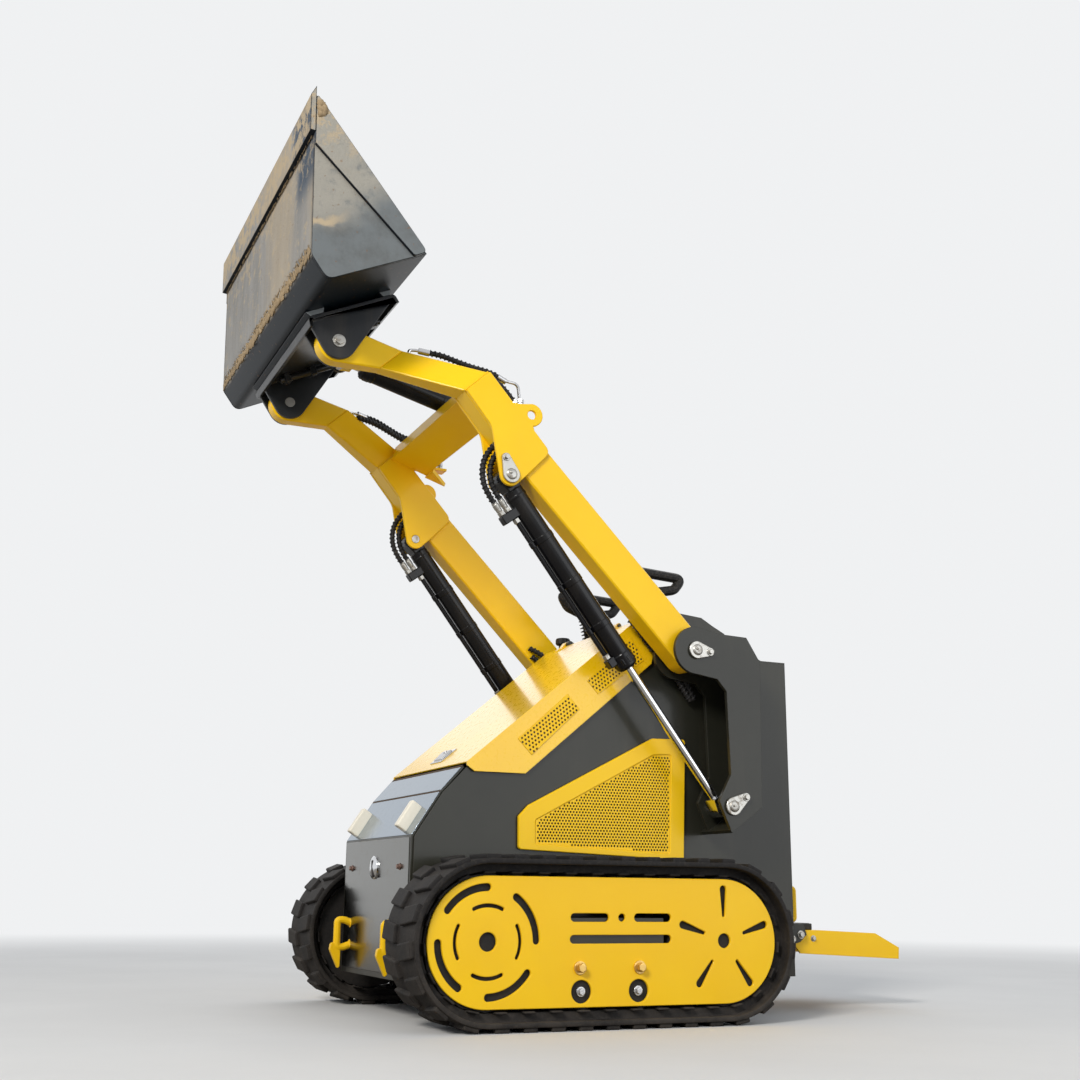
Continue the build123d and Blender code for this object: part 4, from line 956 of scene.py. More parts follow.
def bucketMesh():
    bend, half, sheet = bucket["bend"], bucket["half"], bucket["sheet"]
    skin = rounded([tip, (*heelFront, bend), (*heelRear, bend), lip])
    inside = (half - sheet) / 1000
    meshes = [flatPlate("shell", skin + beside(skin, sheet)[::-1], [], inside * 2, inside, 0.0012)]
    for outerY in (half / 1000, -inside):
        meshes.append(flatPlate("cheek", skin, [], sheet / 1000, outerY, 0.0012))
    for start, end in bucket["hooks"]:
        hook = [fromLine(heelRear, lip, start, 0), fromLine(heelRear, lip, end, 0),
                (*fromLine(heelRear, lip, end - bucket["hookSlope"], bucket["hook"]), 3),
                (*fromLine(heelRear, lip, start + bucket["hookSlope"], bucket["hook"]), 3)]
        wide = bucket["hookHalf"] / 1000
        meshes.append(flatPlate("hook", rounded(hook), [], 2 * wide, wide, 0.0008))
    for inner in (-(half - sheet - 2), half - sheet - 2):
        seam = [spot(x, inner, z) for x, z in beside(skin, sheet + 1)]
        meshes.append(weldBead("bucketWeld", seam, bucket["weld"]))
    return joined("bucketShell", meshes)


def cutterMesh():
    front, rear = bucket["cutterReach"]
    x, z, radius = bucket["cutterHole"]
    outline = [(*tip, 8), (*fromLine(tip, heelFront, front, 0), 4), (*fromLine(lip, heelRear, rear, 0), 10),
               (*lip, 16)]
    hole = ringPoints(*fromLine(tip, heelFront, x, z), radius)
    return flatPlate("sideCutter", rounded(outline), [hole], bucket["cutter"] / 1000, bucket["outer"] / 1000,
                     0.0014)


def edgeMesh():
    top, foot = (fromLine(tip, heelFront, along, 0) for along in bucket["edgeReach"])
    long = bucket["edgeReach"][1] - bucket["edgeReach"][0]
    outline = [top, fromLine(top, foot, bucket["edgeBevel"], bucket["edge"]),
               fromLine(top, foot, long - 2, bucket["edge"]), foot]
    return flatPlate("cuttingEdge", outline, [], 2 * bucket["outer"] / 1000, bucket["outer"] / 1000, 0.0012)


addPiece("bucketShell", bucketMesh(), "bucket", "bucketPaint", ["bucket"])
addPair("sideCutter", cutterMesh(), "bucket", "bucketPaint", "side_cutter_*")
addPiece("cuttingEdge", edgeMesh(), "bucket", "bucketPaint", ["cutting_edge"])

# Dried sand: where each band of lumps starts and ends, how many there are, their size, and how flat they lie;
# the lumps are thinner towards the sides, where the bucket comes close to the tracks
crust = {"heel": (fromLine(heelFront, tip, 6, -1.0), fromLine(heelFront, tip, 46, -1.5), 900,
                  (0.003, 0.008), 0.45),
         "edge": (fromLine(tip, heelFront, 111, 4), fromLine(tip, heelFront, 120, 1), 320,
                  (0.002, 0.0045), 0.5),
         "half": 524, "thinFrom": 330, "thin": 0.32,
         "tipLumps": 30, "tipAt": fromLine(tip, heelFront, 46, -17), "tipSpread": (8, 16), "sideY": 545}


def lump(bm, at, size, flat, turn):
    scale = Matrix.Diagonal((flat, random.uniform(1.0, 2.4), random.uniform(0.8, 1.5), 1))
    place = Matrix.Translation(at) @ turn @ Matrix.Rotation(random.uniform(0, 6), 4, "X")
    bmesh.ops.create_icosphere(bm, subdivisions=1, radius=size, matrix=place @ scale)


def crustMesh():
    bm = bmesh.new()
    random.seed(8)
    for band in ("heel", "edge"):
        first, last, count, sizes, flat = crust[band]
        for i in range(count):
            share = random.random() ** 1.6
            x, z = (a + (b - a) * share for a, b in zip(first, last))
            y = random.uniform(-crust["half"], crust["half"])
            size = random.uniform(*sizes) * (1.15 - share)
            thin = crust["thin"] if abs(y) > crust["thinFrom"] else 1
            lump(bm, spot(x, y, z), size, flat * thin, Matrix.Identity(4))
    sideways = Matrix.Rotation(pi / 2, 4, "Z")
    for side in (-1, 1):
        for i in range(crust["tipLumps"]):
            x, z = (value + random.uniform(-spread, spread)
                    for value, spread in zip(crust["tipAt"], crust["tipSpread"]))
            lump(bm, spot(x, side * crust["sideY"], z), random.uniform(0.004, 0.008), 0.8, sideways)
    return meshFrom(bm, "sandCrust", 80)


addPiece("sandCrust", crustMesh(), "bucket", "driedSand")

# Quick-attach plate: the folded plate, its ears and the pins, with a latch rod at each side
attach = {"half": 310, "gap": 14, "plate": 10, "from": 6, "to": 268, "lip": 16,
          "armY": 262, "armGap": 26, "ear": 10, "armEar": 50, "armFeet": (6, 266), "armHole": 15,
          "rodEarY": 24, "rodEarPlate": 12, "rodEar": 28, "rodFeet": (120, 246), "rodHole": 14,
          "latchAt": (150, 14, 170), "latchRadius": 0.010, "latchLength": 0.215,
          "guide": (0.028, 0.028, 0.020), "guides": (-0.085, 0, 0.085),
          "grip": (0.012, 0.055, 0.016), "gripAt": (0, 0.028, 0.045)}
tipPivot, tiltRear, tiltFront = (691, 1742), (232, 1716), (598, 1812)


def offBack(along, off):
    return fromLine(heelRear, lip, along, off)


def footedEar(centre, radius, feet, base):  # a round eye on a foot that widens to the plate
    return hullOutline((*centre, radius), *[(*offBack(reach, base - 2), 0) for reach in feet])


def latchRodMesh(side, base):
    bm = bmesh.new()
    along, off, y = attach["latchAt"]
    turn = linePlace(heelRear, lip, along, base + off, side * y)
    rod(bm, attach["latchRadius"], attach["latchLength"], turn, 20, 0.001)
    for reach in attach["guides"]:
        block(bm, attach["guide"], turn @ Matrix.Translation((0, 0, reach)), 0.002, 1)
    block(bm, attach["grip"], turn @ Matrix.Translation(attach["gripAt"]), 0.003)
    return meshFrom(bm, "latchRod")


def attachMesh():
    gap, base, ear = attach["gap"], attach["gap"] + attach["plate"], attach["ear"]
    path = rounded([offBack(attach["from"] - 4, base + attach["lip"]), (*offBack(attach["from"], gap), 12),
                    (*offBack(attach["to"], gap), 12), offBack(attach["to"] + 4, base + attach["lip"])])
    shape = path + beside(path, -attach["plate"])[::-1]
    meshes = [flatPlate("plate", shape, [], 2 * attach["half"] / 1000, attach["half"] / 1000, 0.001)]
    armEar = footedEar(tipPivot, attach["armEar"], attach["armFeet"], base)
    rodEar = footedEar(tiltFront, attach["rodEar"], attach["rodFeet"], base)
    armHole, rodHole = ringPoints(*tipPivot, attach["armHole"]), ringPoints(*tiltFront, attach["rodHole"])
    for side in (-1, 1):
        for y in (attach["armY"] - attach["armGap"] - ear, attach["armY"] + attach["armGap"]):
            outer = y + ear if side > 0 else -y
            meshes.append(flatPlate("armEar", armEar, [armHole], ear / 1000, outer / 1000, 0.001))
        outer = attach["rodEarY"] + attach["rodEarPlate"] if side > 0 else -attach["rodEarY"]
        meshes.append(flatPlate("rodEar", rodEar, [rodHole], attach["rodEarPlate"] / 1000, outer / 1000, 0.001))
        meshes.append(latchRodMesh(side, base))
        for y in (attach["armY"] - 36, attach["armY"] + 36):
            for reach, way in zip(attach["armFeet"], (1, -1)):
                seam = [offBack(reach + way * along, base) for along in (10, 45)]
                meshes.append(weldBead("earWeld", [spot(x, side * y, z) for x, z in seam], 0.003))
    return joined("attachPlate", meshes)


# Pins through the ears, each with its pivot, radius, length and the Y of its middle, then its head outside the
# ear: the face's Y, and the radius, height and bevel of a washer and a hexagon
attachPins = ((tipPivot, 0.015, 0.072, 262, 298, (0.018, 0.003, 0.0006), (0.0135, 0.010, 0.0012)),
              (tiltFront, 0.013, 0.046, 23, 36, (0.021, 0.002, 0.0005), (0.0175, 0.007, 0.001)))


def attachPinMesh():
    bm = bmesh.new()
    for at, radius, length, middle, face, washer, hexagon in attachPins:
        rod(bm, radius, length, sideFace(*at, middle), 32)
        for (radius, height, bevel), sides, base in ((washer, 40, 0), (hexagon, 6, washer[1] / 2)):
            head = sideFace(*at, face) @ Matrix.Translation((0, 0, base + height / 2))
            rod(bm, radius, height, head, sides, bevel)
    return meshFrom(bm, "attachPins")


addPiece("attachPlate", attachMesh(), "bucket", "couplerPaint", ["attach_plate"])
addPiece("attachPins", bothSides("attachPins", attachPinMesh()), "bucket", "zincSteel",
         ["attach_pins"])
print("Bucket made")


# Arms: a box beam with overlay plates about the knee, a slanting box and a round tip
arms = {"inner": 336, "outer": 426, "plate": 10, "tipY": attach["armY"], "tipWidth": 44, "end": 52,
        "tipRadius": 54, "bore": 15.25, "pin": 13, "lug": 32, "lugHole": 12.5,
        "lugFeet": ((172, 1527, 3), (232, 1594, 6)), "kneeWeld": 0.003, "elbowWeld": 0.0035}
pivot, liftUpper, liftLower, lugHole = (-310, 962), (240, 1393), (-415, 546), (180, 1570.5)
kneeUpper, kneeLower, gussetFront = (123, 1472), (193, 1397), (296, 1521)
elbowUpper, elbowLower, tipUpper, tipLower = (305, 1676), (371, 1612), (505, 1751), (569, 1689)


def slantBox():  # the box between the elbow and the tip, which also leans inwards
    bm = bmesh.new()
    made = bmesh.ops.create_cube(bm, size=2.0)
    low, high = arms["inner"] + arms["plate"], arms["outer"] - arms["plate"]
    tipLow, tipHigh = (arms["tipY"] + way * arms["tipWidth"] / 2 for way in (-1, 1))
    for vert in made["verts"]:
        front, left, top = (value > 0 for value in vert.co)
        x, z = (tipUpper if top else tipLower) if front else (elbowUpper if top else elbowLower)
        y = (tipHigh if left else tipLow) if front else (high if left else low)
        vert.co = spot(x, y, z)
    bevelled(bm, [edge for edge in bm.edges if edge.calc_length() > 0.18], 0.004)
    return meshFrom(bm, "slantBox")


def beamOutline():  # round the pivot, along the beam, and to the elbow
    hull = hullOutline((*pivot, arms["end"]), (*kneeUpper, 0), (*kneeLower, 0))
    last = min(range(len(hull)), key=lambda i: (Vector(hull[i]) - Vector(kneeUpper)).length)
    return hull[last:] + hull[:last] + [elbowLower, elbowUpper]


def armMesh():
    inner, outer, plate, tipWidth = arms["inner"], arms["outer"], arms["plate"], arms["tipWidth"]
    width = outer - inner - 2 * plate
    bore, pinHole = ringPoints(*pivot, arms["bore"]), ringPoints(*liftUpper, arms["pin"])
    meshes = [flatPlate("beam", beamOutline(), [bore], width / 1000, (outer - plate) / 1000, 0.004),
              slantBox()]
    tipShape = hullOutline((*tipPivot, arms["tipRadius"]), (*tipUpper, 0), (*tipLower, 0))
    meshes.append(flatPlate("tip", tipShape, [ringPoints(*tipPivot, arms["bore"])], tipWidth / 1000,
                            (arms["tipY"] + tipWidth / 2) / 1000, 0.004))
    gusset = [(*elbowUpper, 6), (*elbowLower, 6), (*gussetFront, 60), *arcPoints(*liftUpper, 30, -11, -134),
              (*kneeLower, 4), (*kneeUpper, 24)]
    rearFoot, frontFoot = arms["lugFeet"]
    lug = [rearFoot, *arcPoints(*lugHole, arms["lug"], 262, 92), frontFoot]
    holes = [ringPoints(*lugHole, arms["lugHole"]), pinHole]
    meshes.append(flatPlate("overlay", rounded(gusset + lug), holes, plate / 1000, outer / 1000, 0.0016))
    meshes.append(flatPlate("overlayInside", rounded(gusset), [pinHole], plate / 1000,
                            (inner + plate) / 1000, 0.0016))
    for y in (outer - plate, inner + plate):
        seam = [fromLine(kneeLower, kneeUpper, reach, 1.5) for reach in (6, 92)]
        meshes.append(weldBead("kneeWeld", [spot(x, y, z) for x, z in seam], arms["kneeWeld"]))
        seam = [spot(x + 3, y, z) for x, z in (elbowUpper, elbowLower)]
        meshes.append(weldBead("elbowWeld", seam, arms["elbowWeld"]))
    return joined("armBeam", meshes)


addPair("armBeam", armMesh(), "arm", "yellowPaint", "arm_*")

# Pins, and the teardrop keepers that hold them from outside
# Each pin has its lock bolt's place, the Y of the keeper's inner face, its radius, and the Y that it starts at
keepers = {"radius": 24, "nose": 12, "thickness": 8,
           "dome": ((0, 4.5), (9, 4.5), (13, 3.4), (15, 1.4), (15.5, 0)),
           "nipple": ((0, 7), (1.8, 7), (2.6, 5.4), (1.8, 4.6), (3.4, 3.4), (3.4, 0)), "nippleAt": (4, 2, 4),
           "arm": ((256, 1438), arms["outer"], 12.5, 337), "tower": ((-350, 959), 444, 15, 320),
           "foot": ((-453, 571), 444, 12, 440)}


def keeperMeshes(at, bolt, y, pin, pinFrom):  # plate, domed pin end, grease nipple and lock bolt
    outline = hullOutline((*at, keepers["radius"]), (*bolt, keepers["nose"]))
    thick = keepers["thickness"]
    bm = bmesh.new()
    rod(bm, pin / 1000, (y - pinFrom) / 1000, sideFace(*at, (y + pinFrom) / 2), 32)
    lathe(bm, keepers["dome"], sideFace(*at, y + thick), 40)
    ahead, up, out = keepers["nippleAt"]
    lathe(bm, keepers["nipple"], sideFace(at[0] + ahead, at[1] + up, y + thick + out), 12)
    return [flatPlate("keeper", outline, [], thick / 1000, (y + thick) / 1000, 0.0014), meshFrom(bm, "pinEnd"),
            boltMesh([sideFace(*bolt, y + thick)], "lockBolt", 0.0075, 0.007)]


armPins = joined("armPins", keeperMeshes(liftUpper, *keepers["arm"]))
addPiece("armPins", bothSides("armPins", armPins), "arm", "zincSteel", ["arm_pins"])
towerPins = joined("towerPins", keeperMeshes(pivot, *keepers["tower"])
                   + keeperMeshes(liftLower, *keepers["foot"]))
addPiece("towerPins", bothSides("towerPins", towerPins), "chassis", "zincSteel", ["tower_pins"])

# Cylinders: barrel with its eye, welded ring and gland, and the oil pipe along the lift barrels
cylinders = {
    "lift": {"start": liftUpper, "end": liftLower, "radius": 29, "length": 611, "eye": 27, "width": 50,
             "y": liftHoseY, "rodRadius": 12.5},
    "tilt": {"start": tiltRear, "end": tiltFront, "radius": 30, "length": 320, "eye": 26, "width": 62, "y": 0,
             "rodRadius": 14},
}
oilPipe = {"radius": 0.007, "offset": 39, "from": 92, "to": 572, "port": 26, "root": 18, "depths": (76, 49),
           "clamps": (190, 330, 470), "hoses": (45, 66)}


def barrelMeshes(start, end, radius, length, eye, width, y, rodRadius):
    place = linePlace(start, end, 0, 0, y)
    bm = bmesh.new()
    bottom = [(0, eye + 8), (radius - 5, eye + 8), (radius, eye + 12), (radius, eye + 26),
              (radius + 1, eye + 28), (radius + 1, eye + 33), (radius, eye + 35)]
    gland = [(radius, length - 46), (radius + 1.5, length - 43), (radius + 1.5, length - 8),
             (radius - 2, length - 3), (radius - 7, length - 3), (radius - 8, length),
             (rodRadius + 1.5, length), (rodRadius + 0.6, length - 6), (rodRadius + 0.6, length - 40)]
    lathe(bm, bottom + gland, place, 48)
    notch = Matrix.Translation(((radius + 1.2) / 1000, 0, (length - 24) / 1000))
    for turn in range(10):
        around = place @ Matrix.Rotation(turn * pi / 5, 4, "Z")
        block(bm, (0.003, 0.006, 0.018), around @ notch, 0.0008, 1)
    corners = [(*fromLine(start, end, eye + 12, side * 20), 0) for side in (-1, 1)]
    outline = hullOutline((*start, eye), *corners)
    hole = ringPoints(*start, 14)
    return [meshFrom(bm, "barrel"),
            flatPlate("eye", outline, [hole], width / 1000, (y + width / 2) / 1000, 0.003)]


def liftBarrelMesh():
    lift = cylinders["lift"]
    start, end, y = lift["start"], lift["end"], lift["y"]
    meshes = barrelMeshes(**lift)
    half = oilPipe["port"] / 2
    for reach, depth in zip((oilPipe["from"], oilPipe["to"]), oilPipe["depths"]):
        corners = [(*fromLine(start, end, reach + side * half, off), bend)
                   for side, off, bend in ((-1, oilPipe["root"], 1), (1, oilPipe["root"], 1), (1, depth, 4),
                                           (-1, depth, 4))]
        meshes.append(flatPlate("port", rounded(corners), [], 2 * half / 1000, (y + half) / 1000, 0.002))
    route = [fromLine(start, end, reach, oilPipe["offset"]) for reach in (oilPipe["from"], oilPipe["to"])]
    meshes.append(bar("oilPipe", [spot(x, y, z) for x, z in route], oilPipe["radius"]))
    bm = bmesh.new()
    radius = lift["radius"]
    for reach in oilPipe["clamps"]:
        lathe(bm, [(radius - 1, -8), (radius + 1.4, -8), (radius + 1.4, 8), (radius - 1, 8)],
              linePlace(start, end, reach, 0, y), 40)
        lathe(bm, [(6, -8), (8.4, -8), (8.4, 8), (6, 8)],
              linePlace(start, end, reach, oilPipe["offset"], y), 24)
    return joined("liftBarrel", meshes + [meshFrom(bm, "pipeClamps")])


# Zinc nuts and sleeves of the two hoses, and the pipe's union nuts; a nut is a radius and a height
liftFittings = {"hoseNut": (0.0098, 0.012), "nutUp": 6, "sleeveUp": 26,
                "sleeve": ((6, -16), (8.2, -15), (8.2, -9), (9, -8), (9, 4), (8.2, 5), (8.2, 12), (7, 13),
                           (7, 14), (5, 14)),
                "unionNut": (0.0105, 0.013), "unionIn": 20}


def liftFittingMesh():
    lift = cylinders["lift"]
    start, end, y = lift["start"], lift["end"], lift["y"]
    top = oilPipe["from"] - oilPipe["port"] / 2
    bm = bmesh.new()
    for offset in oilPipe["hoses"]:
        nut = linePlace(start, end, top - liftFittings["nutUp"], offset, y)
        rod(bm, *liftFittings["hoseNut"], nut, 6, 0.0008)
        sleeve = linePlace(start, end, top - liftFittings["sleeveUp"], offset, y)
        lathe(bm, liftFittings["sleeve"], sleeve, 28)
    for reach in (oilPipe["from"] + liftFittings["unionIn"], oilPipe["to"] - liftFittings["unionIn"]):
        rod(bm, *liftFittings["unionNut"], linePlace(start, end, reach, oilPipe["offset"], y), 6, 0.0008)
    return meshFrom(bm, "liftFittings")


addPair("liftBarrel", liftBarrelMesh(), "lift_barrel_*", "cylinderBlack", "lift_barrel_*")
addPair("liftFittings", liftFittingMesh(), "lift_barrel_*", "zincSteel")
tiltBarrel = joined("tiltBarrel", barrelMeshes(**cylinders["tilt"]))
addPiece("tiltBarrel", tiltBarrel, "tilt_barrel", "cylinderBlack", ["tilt_barrel"])

# Bright bend tubes, sleeves and nuts at the ends of the arms' hoses, and the shelf that carries the rear ones
armTubes = {"radius": 0.0048, "bend": 0.020,
            "front": ((440, 291, 1754), (470, 284, 1759), (489, 281, 1758), (490, 281, 1728)),
            "rear": ((246, 325, 1707), (222, 325, 1697), (180, 325, 1694), (172, 325, 1626)),
            "nuts": ((172, 325, 1644), (172, 325, 1632), (194, 338, 1634), (490, 281, 1736)),
            "sleeves": (((230, 325, 1700), (24, 0, 10), 0.028), ((448, 289, 1756), (-24, 6, -4), 0.032))}
hoseShelf = {"at": (208, 328, 1624), "size": (0.108, 0.044, 0.008)}


def armTubeMesh():
    meshes = [bar("armTube", [spot(*point) for point in armTubes[end]], armTubes["radius"], armTubes["bend"])
              for end in ("front", "rear")]
    bm = bmesh.new()
    for point in armTubes["nuts"]:
        rod(bm, 0.0098, 0.011, facing(spot(*point), (0, 0, 1)), 6, 0.0008)
    for at, along, length in armTubes["sleeves"]:
        rod(bm, 0.0092, length, facing(spot(*at), along), 24, 0.001)
    return joined("armTubes", meshes + [meshFrom(bm, "armNuts")])


def hoseShelfMesh():
    bm = bmesh.new()
    block(bm, hoseShelf["size"], Matrix.Translation(spot(*hoseShelf["at"])), 0.001, 1)
    return meshFrom(bm, "hoseShelf")


addPair("armTubes", armTubeMesh(), "arm", "brightMetal")
addPair("hoseShelf", hoseShelfMesh(), "arm", "yellowPaint")
print("Arms and cylinders made")


# Body: side grilles, perforated patches in the hood's sides, and what stands on the nose
body = {"noseX": 437, "half": 284}
noseTop, slopeBreak, cowlTop = (437, 453), (362, 568), (302, 635)
hoodFront, hoodRear = (297, 644), (-200, 1058)
grille = {"outline": ((-250, 732), (-354, 735), (-344, 406), (148, 425), (149, 510), (121, 539)),
          "mesh": ((-253, 687), (-308, 690), (-300, 423), (101, 440), (101, 501)), "outer": 302, "inner": 290,
          "pitch": 9, "hole": 5.6, "margin": 3.5, "sheet": 1.2, "meshY": 299.5, "backY": 294.5}
hoodPatches = {
    "front": ((10, 838), (-26, 799), (114, 669), (155, 710)),
    "rear": ((-49, 878), (-82, 844), (-225, 948), (-184, 1010)),
}
patchSheet = {"pitch": 11, "hole": 6, "margin": 3, "sheet": 1.0, "meshY": 301.6, "slope": -39.8, "backY": 300.5}


def frontPlate(name, outline, holes, thickness, frontX, bevel=0.0008):  # as flatPlate, but facing forwards
    mesh = flatPlate(name, outline, holes, thickness, 0, bevel)
    forward = Matrix.Translation((drawnX + frontX / 1000 - thickness, 0, 0))
    mesh.transform(forward @ Matrix.Rotation(pi / 2, 4, "Z") @ Matrix.Translation((-drawnX, 0, 0)))
    return mesh


def grilleFrameMesh():
    outline = rounded([(*point, 10) for point in grille["outline"]])
    opening = rounded([(*point, 7) for point in grille["mesh"]])
    depth = (grille["outer"] - grille["inner"]) / 1000
    return flatPlate("grilleFrame", outline, [opening], depth, grille["outer"] / 1000, 0.0016)


# A dark sheet behind the grille mesh, in painted shade, for the shade seen through its holes
grilleShadeMesh = flatPlate("grilleShadeSheet", grille["mesh"], [], 0.002, grille["backY"] / 1000, 0)
screen = perforated("grilleMesh", grille["mesh"], grille["pitch"], grille["hole"], grille["margin"],
                    grille["sheet"], grille["meshY"])
addPair("grilleFrame", grilleFrameMesh(), "chassis", "yellowPaint", "side_grille_*")
addPair("grilleMesh", screen, "chassis", "yellowPaint")
addPair("grilleShadeSheet", grilleShadeMesh, "chassis", "paintedShadeBehindHoles")
for place, outline in hoodPatches.items():
    screen = perforated("hoodMesh", outline, patchSheet["pitch"], patchSheet["hole"], patchSheet["margin"],
                        patchSheet["sheet"], patchSheet["meshY"], patchSheet["slope"])
    shade = flatPlate("hoodShade", rounded([(*point, 6) for point in outline]), [], 0.0004,
                      patchSheet["backY"] / 1000, 0)
    addPair("hoodMesh" + place.capitalize(), screen, "hood", "yellowPaint")
    addPair("hoodShade" + place.capitalize(), shade, "hood", "paintedShadeBehindHoles")


# Nose: dark strips painted as the shadow lines at the seams between its sheets, two bluish metal sheets on its
# slope that paint the sky's reflection in its glossy dark paint, the front cover and the lamps; each sheet and
# shadow strip is given by the line that it lies on and how far up that line it reaches
nose = {"seamShadows": ((noseTop, slopeBreak, 136, 5, 0.2), (cowlTop, slopeBreak, 3, 8, -0.2)),
        "sheets": ((noseTop, slopeBreak, 3, 133, 0.6), (cowlTop, slopeBreak, 8, 88, -0.6)),
        "cover": (274, 112, 450), "lamp": (52, 211, 15.5), "lampSize": (0.026, 0.078, 0.033)}


# Painted shadow lines: thin dark strips just above the skin at the seams
def seamShadowMesh():
    bm = bmesh.new()
    for start, end, along, width, out in nose["seamShadows"]:
        place = skinPlace(start, end, along, 0, out)
        block(bm, (2 * body["half"] / 1000, width / 1000, 0.001), place)
    return meshFrom(bm, "noseSeamShadows")


# Bluish sheets on the nose's slope, a painted reflection of the sky
def noseSkinMesh():
    bm = bmesh.new()
    for start, end, first, last, out in nose["sheets"]:
        place = skinPlace(start, end, (first + last) / 2, 0, out)
        block(bm, (2 * body["half"] / 1000, (last - first) / 1000, 0.0014), place, 0.0005, 1)
    return meshFrom(bm, "noseSkin")


def coverMesh():  # the removable sheet on the front panel
    half, low, high = nose["cover"]
    outline = rounded([(-half, low, 4), (half, low, 4), (half, high, 4), (-half, high, 4)])
    return frontPlate("frontCover", outline, [], 0.0025, body["noseX"] + 2, 0.0009)


def lampMesh():  # pale blocks that stand up from the slope of the nose
    bm = bmesh.new()
    block(bm, nose["lampSize"], skinPlace(noseTop, slopeBreak, *nose["lamp"]), 0.004, 3)
    return meshFrom(bm, "workLight")


addPiece("noseSeamShadows", seamShadowMesh(), "chassis", "paintedShadeBehindHoles")
addPiece("noseSkin", noseSkinMesh(), "chassis", "noseSkyReflection")
addPiece("frontCover", coverMesh(), "chassis", "coverSteel")
addPiece("workLights", bothSides("workLights", lampMesh()), "chassis", "lampCream",
         ["work_lights"])


# Paddle latch in its dish near the hood's lower end, with a round lock; places are from the dish's middle
latch = {"along": 60, "dish": (0.088, 0.060, 0.003), "dishUp": 0.0012, "paddle": (0.066, 0.040, 0.006),
         "paddleUp": 0.004, "lean": 4, "lock": ((0, 3), (5, 3), (6, 1.5), (6, 0)), "lockAt": (0, 0.012, 0.007)}


def latchMesh():
    bm = bmesh.new()
    at = skinPlace(hoodFront, hoodRear, latch["along"], 0)
    lean = Matrix.Rotation(radians(latch["lean"]), 4, "X")
    block(bm, latch["dish"], at @ Matrix.Translation((0, 0, latch["dishUp"])), 0.0012)
    block(bm, latch["paddle"], at @ Matrix.Translation((0, 0, latch["paddleUp"])) @ lean, 0.0025, 3)
    lathe(bm, latch["lock"], at @ Matrix.Translation(latch["lockAt"]), 20)
    return meshFrom(bm, "hoodLatch")


# Front panel's domed lock with its slot, and a bolt at each side of it
panel = {"x": 439, "z": 378, "dome": ((0, 12), (9, 12), (13, 10.5), (20, 9), (27, 7), (30.5, 4), (31, 0)),
         "boltY": 208, "slotAt": (448, 9, 374), "slotSize": (0.006, 0.008, 0.046), "slotLean": 9}


def onPanel(y):
    return facing(spot(panel["x"], y, panel["z"]), (1, 0, 0))


def lockMesh():
    bm = bmesh.new()
    lathe(bm, panel["dome"], onPanel(0) @ Matrix.Rotation(pi / 2, 4, "Z"), 48)
    return meshFrom(bm, "panelLock")


def lockSlotMesh():
    bm = bmesh.new()
    lean = Matrix.Rotation(radians(panel["slotLean"]), 4, "X")
    block(bm, panel["slotSize"], Matrix.Translation(spot(*panel["slotAt"])) @ lean, 0.0015, 1)
    return meshFrom(bm, "lockSlot")


addPiece("hoodLatch", latchMesh(), "hood", "brightMetal", ["hood_latch"])
addPiece("panelLock", lockMesh(), "chassis", "chromeRod", ["panel_lock"])
addPiece("lockSlot", lockSlotMesh(), "chassis", "blackPlastic")
panelBolts = boltMesh([onPanel(y) for y in (-panel["boltY"], panel["boltY"])], "panelBolts", 0.0060, 0.007)
addPiece("panelBolts", panelBolts, "chassis", "rustyBolt")

# Tie-down loops of round bar: each has its wall, its reach, its Y and where it meets the wall, low and high;
# each front one has a pointed tongue, an outline of reach from the wall, height and corner radius
ties = {"radius": 0.010, "bend": 0.024, "front": (437, 38, 210, 165, 238), "rear": (-706, -22, 252, 252, 333),
        "tongue": ((28, 176, 4), (56, 178, 9), (58, 158, 9), (34, 108, 3), (28, 114, 3)), "thick": 0.014,
        "drop": 8, "weldRadius": 10.5}


def tieMesh():
    meshes = []
    for end in ("front", "rear"):
        wall, reach, y, low, high = ties[end]
        feet = low + ties["drop"], high - ties["drop"]
        upper = [(wall - 2, feet[1]), (wall + reach * 0.5, high), (wall + reach, high)]
        lower = [(wall + reach, low), (wall + reach * 0.5, low), (wall - 2, feet[0])]
        route = [spot(x, y, z) for x, z in upper + lower]
        meshes.append(bar("tieDown", route, ties["radius"], ties["bend"]))
        out = 1 if reach > 0 else -1
        for z in feet:
            ring = [spot(wall + out, *point) for point in arcPoints(y, z, ties["weldRadius"], 0, 360, 24)]
            meshes.append(weldBead("tieWeld", ring, 0.0026))
    wall, y = ties["front"][0], ties["front"][2]
    tongue = rounded([(wall + out, z, bend) for out, z, bend in ties["tongue"]])
    meshes.append(flatPlate("tieTab", tongue, [], ties["thick"], y / 1000 + ties["thick"] / 2, 0.001))
    return joined("tieDowns", meshes)


addPiece("tieDowns", bothSides("tieDowns", tieMesh()), "chassis", "yellowPaint",
         ["tie_downs"])
print("Body dressed")

# Controls: a bent grip round a post, on ribbed bellows, at each side of the console
levers = {"y": 200, "foot": (-316, 1103), "lean": (20, 63), "ribs": 6, "outer": (35, 31), "inner": (26, 21),
          "grip": 0.0146, "corners": ((70, 26), (96, 66), (-114, 54), (-86, 18)), "bend": 0.026, "sunk": 12}


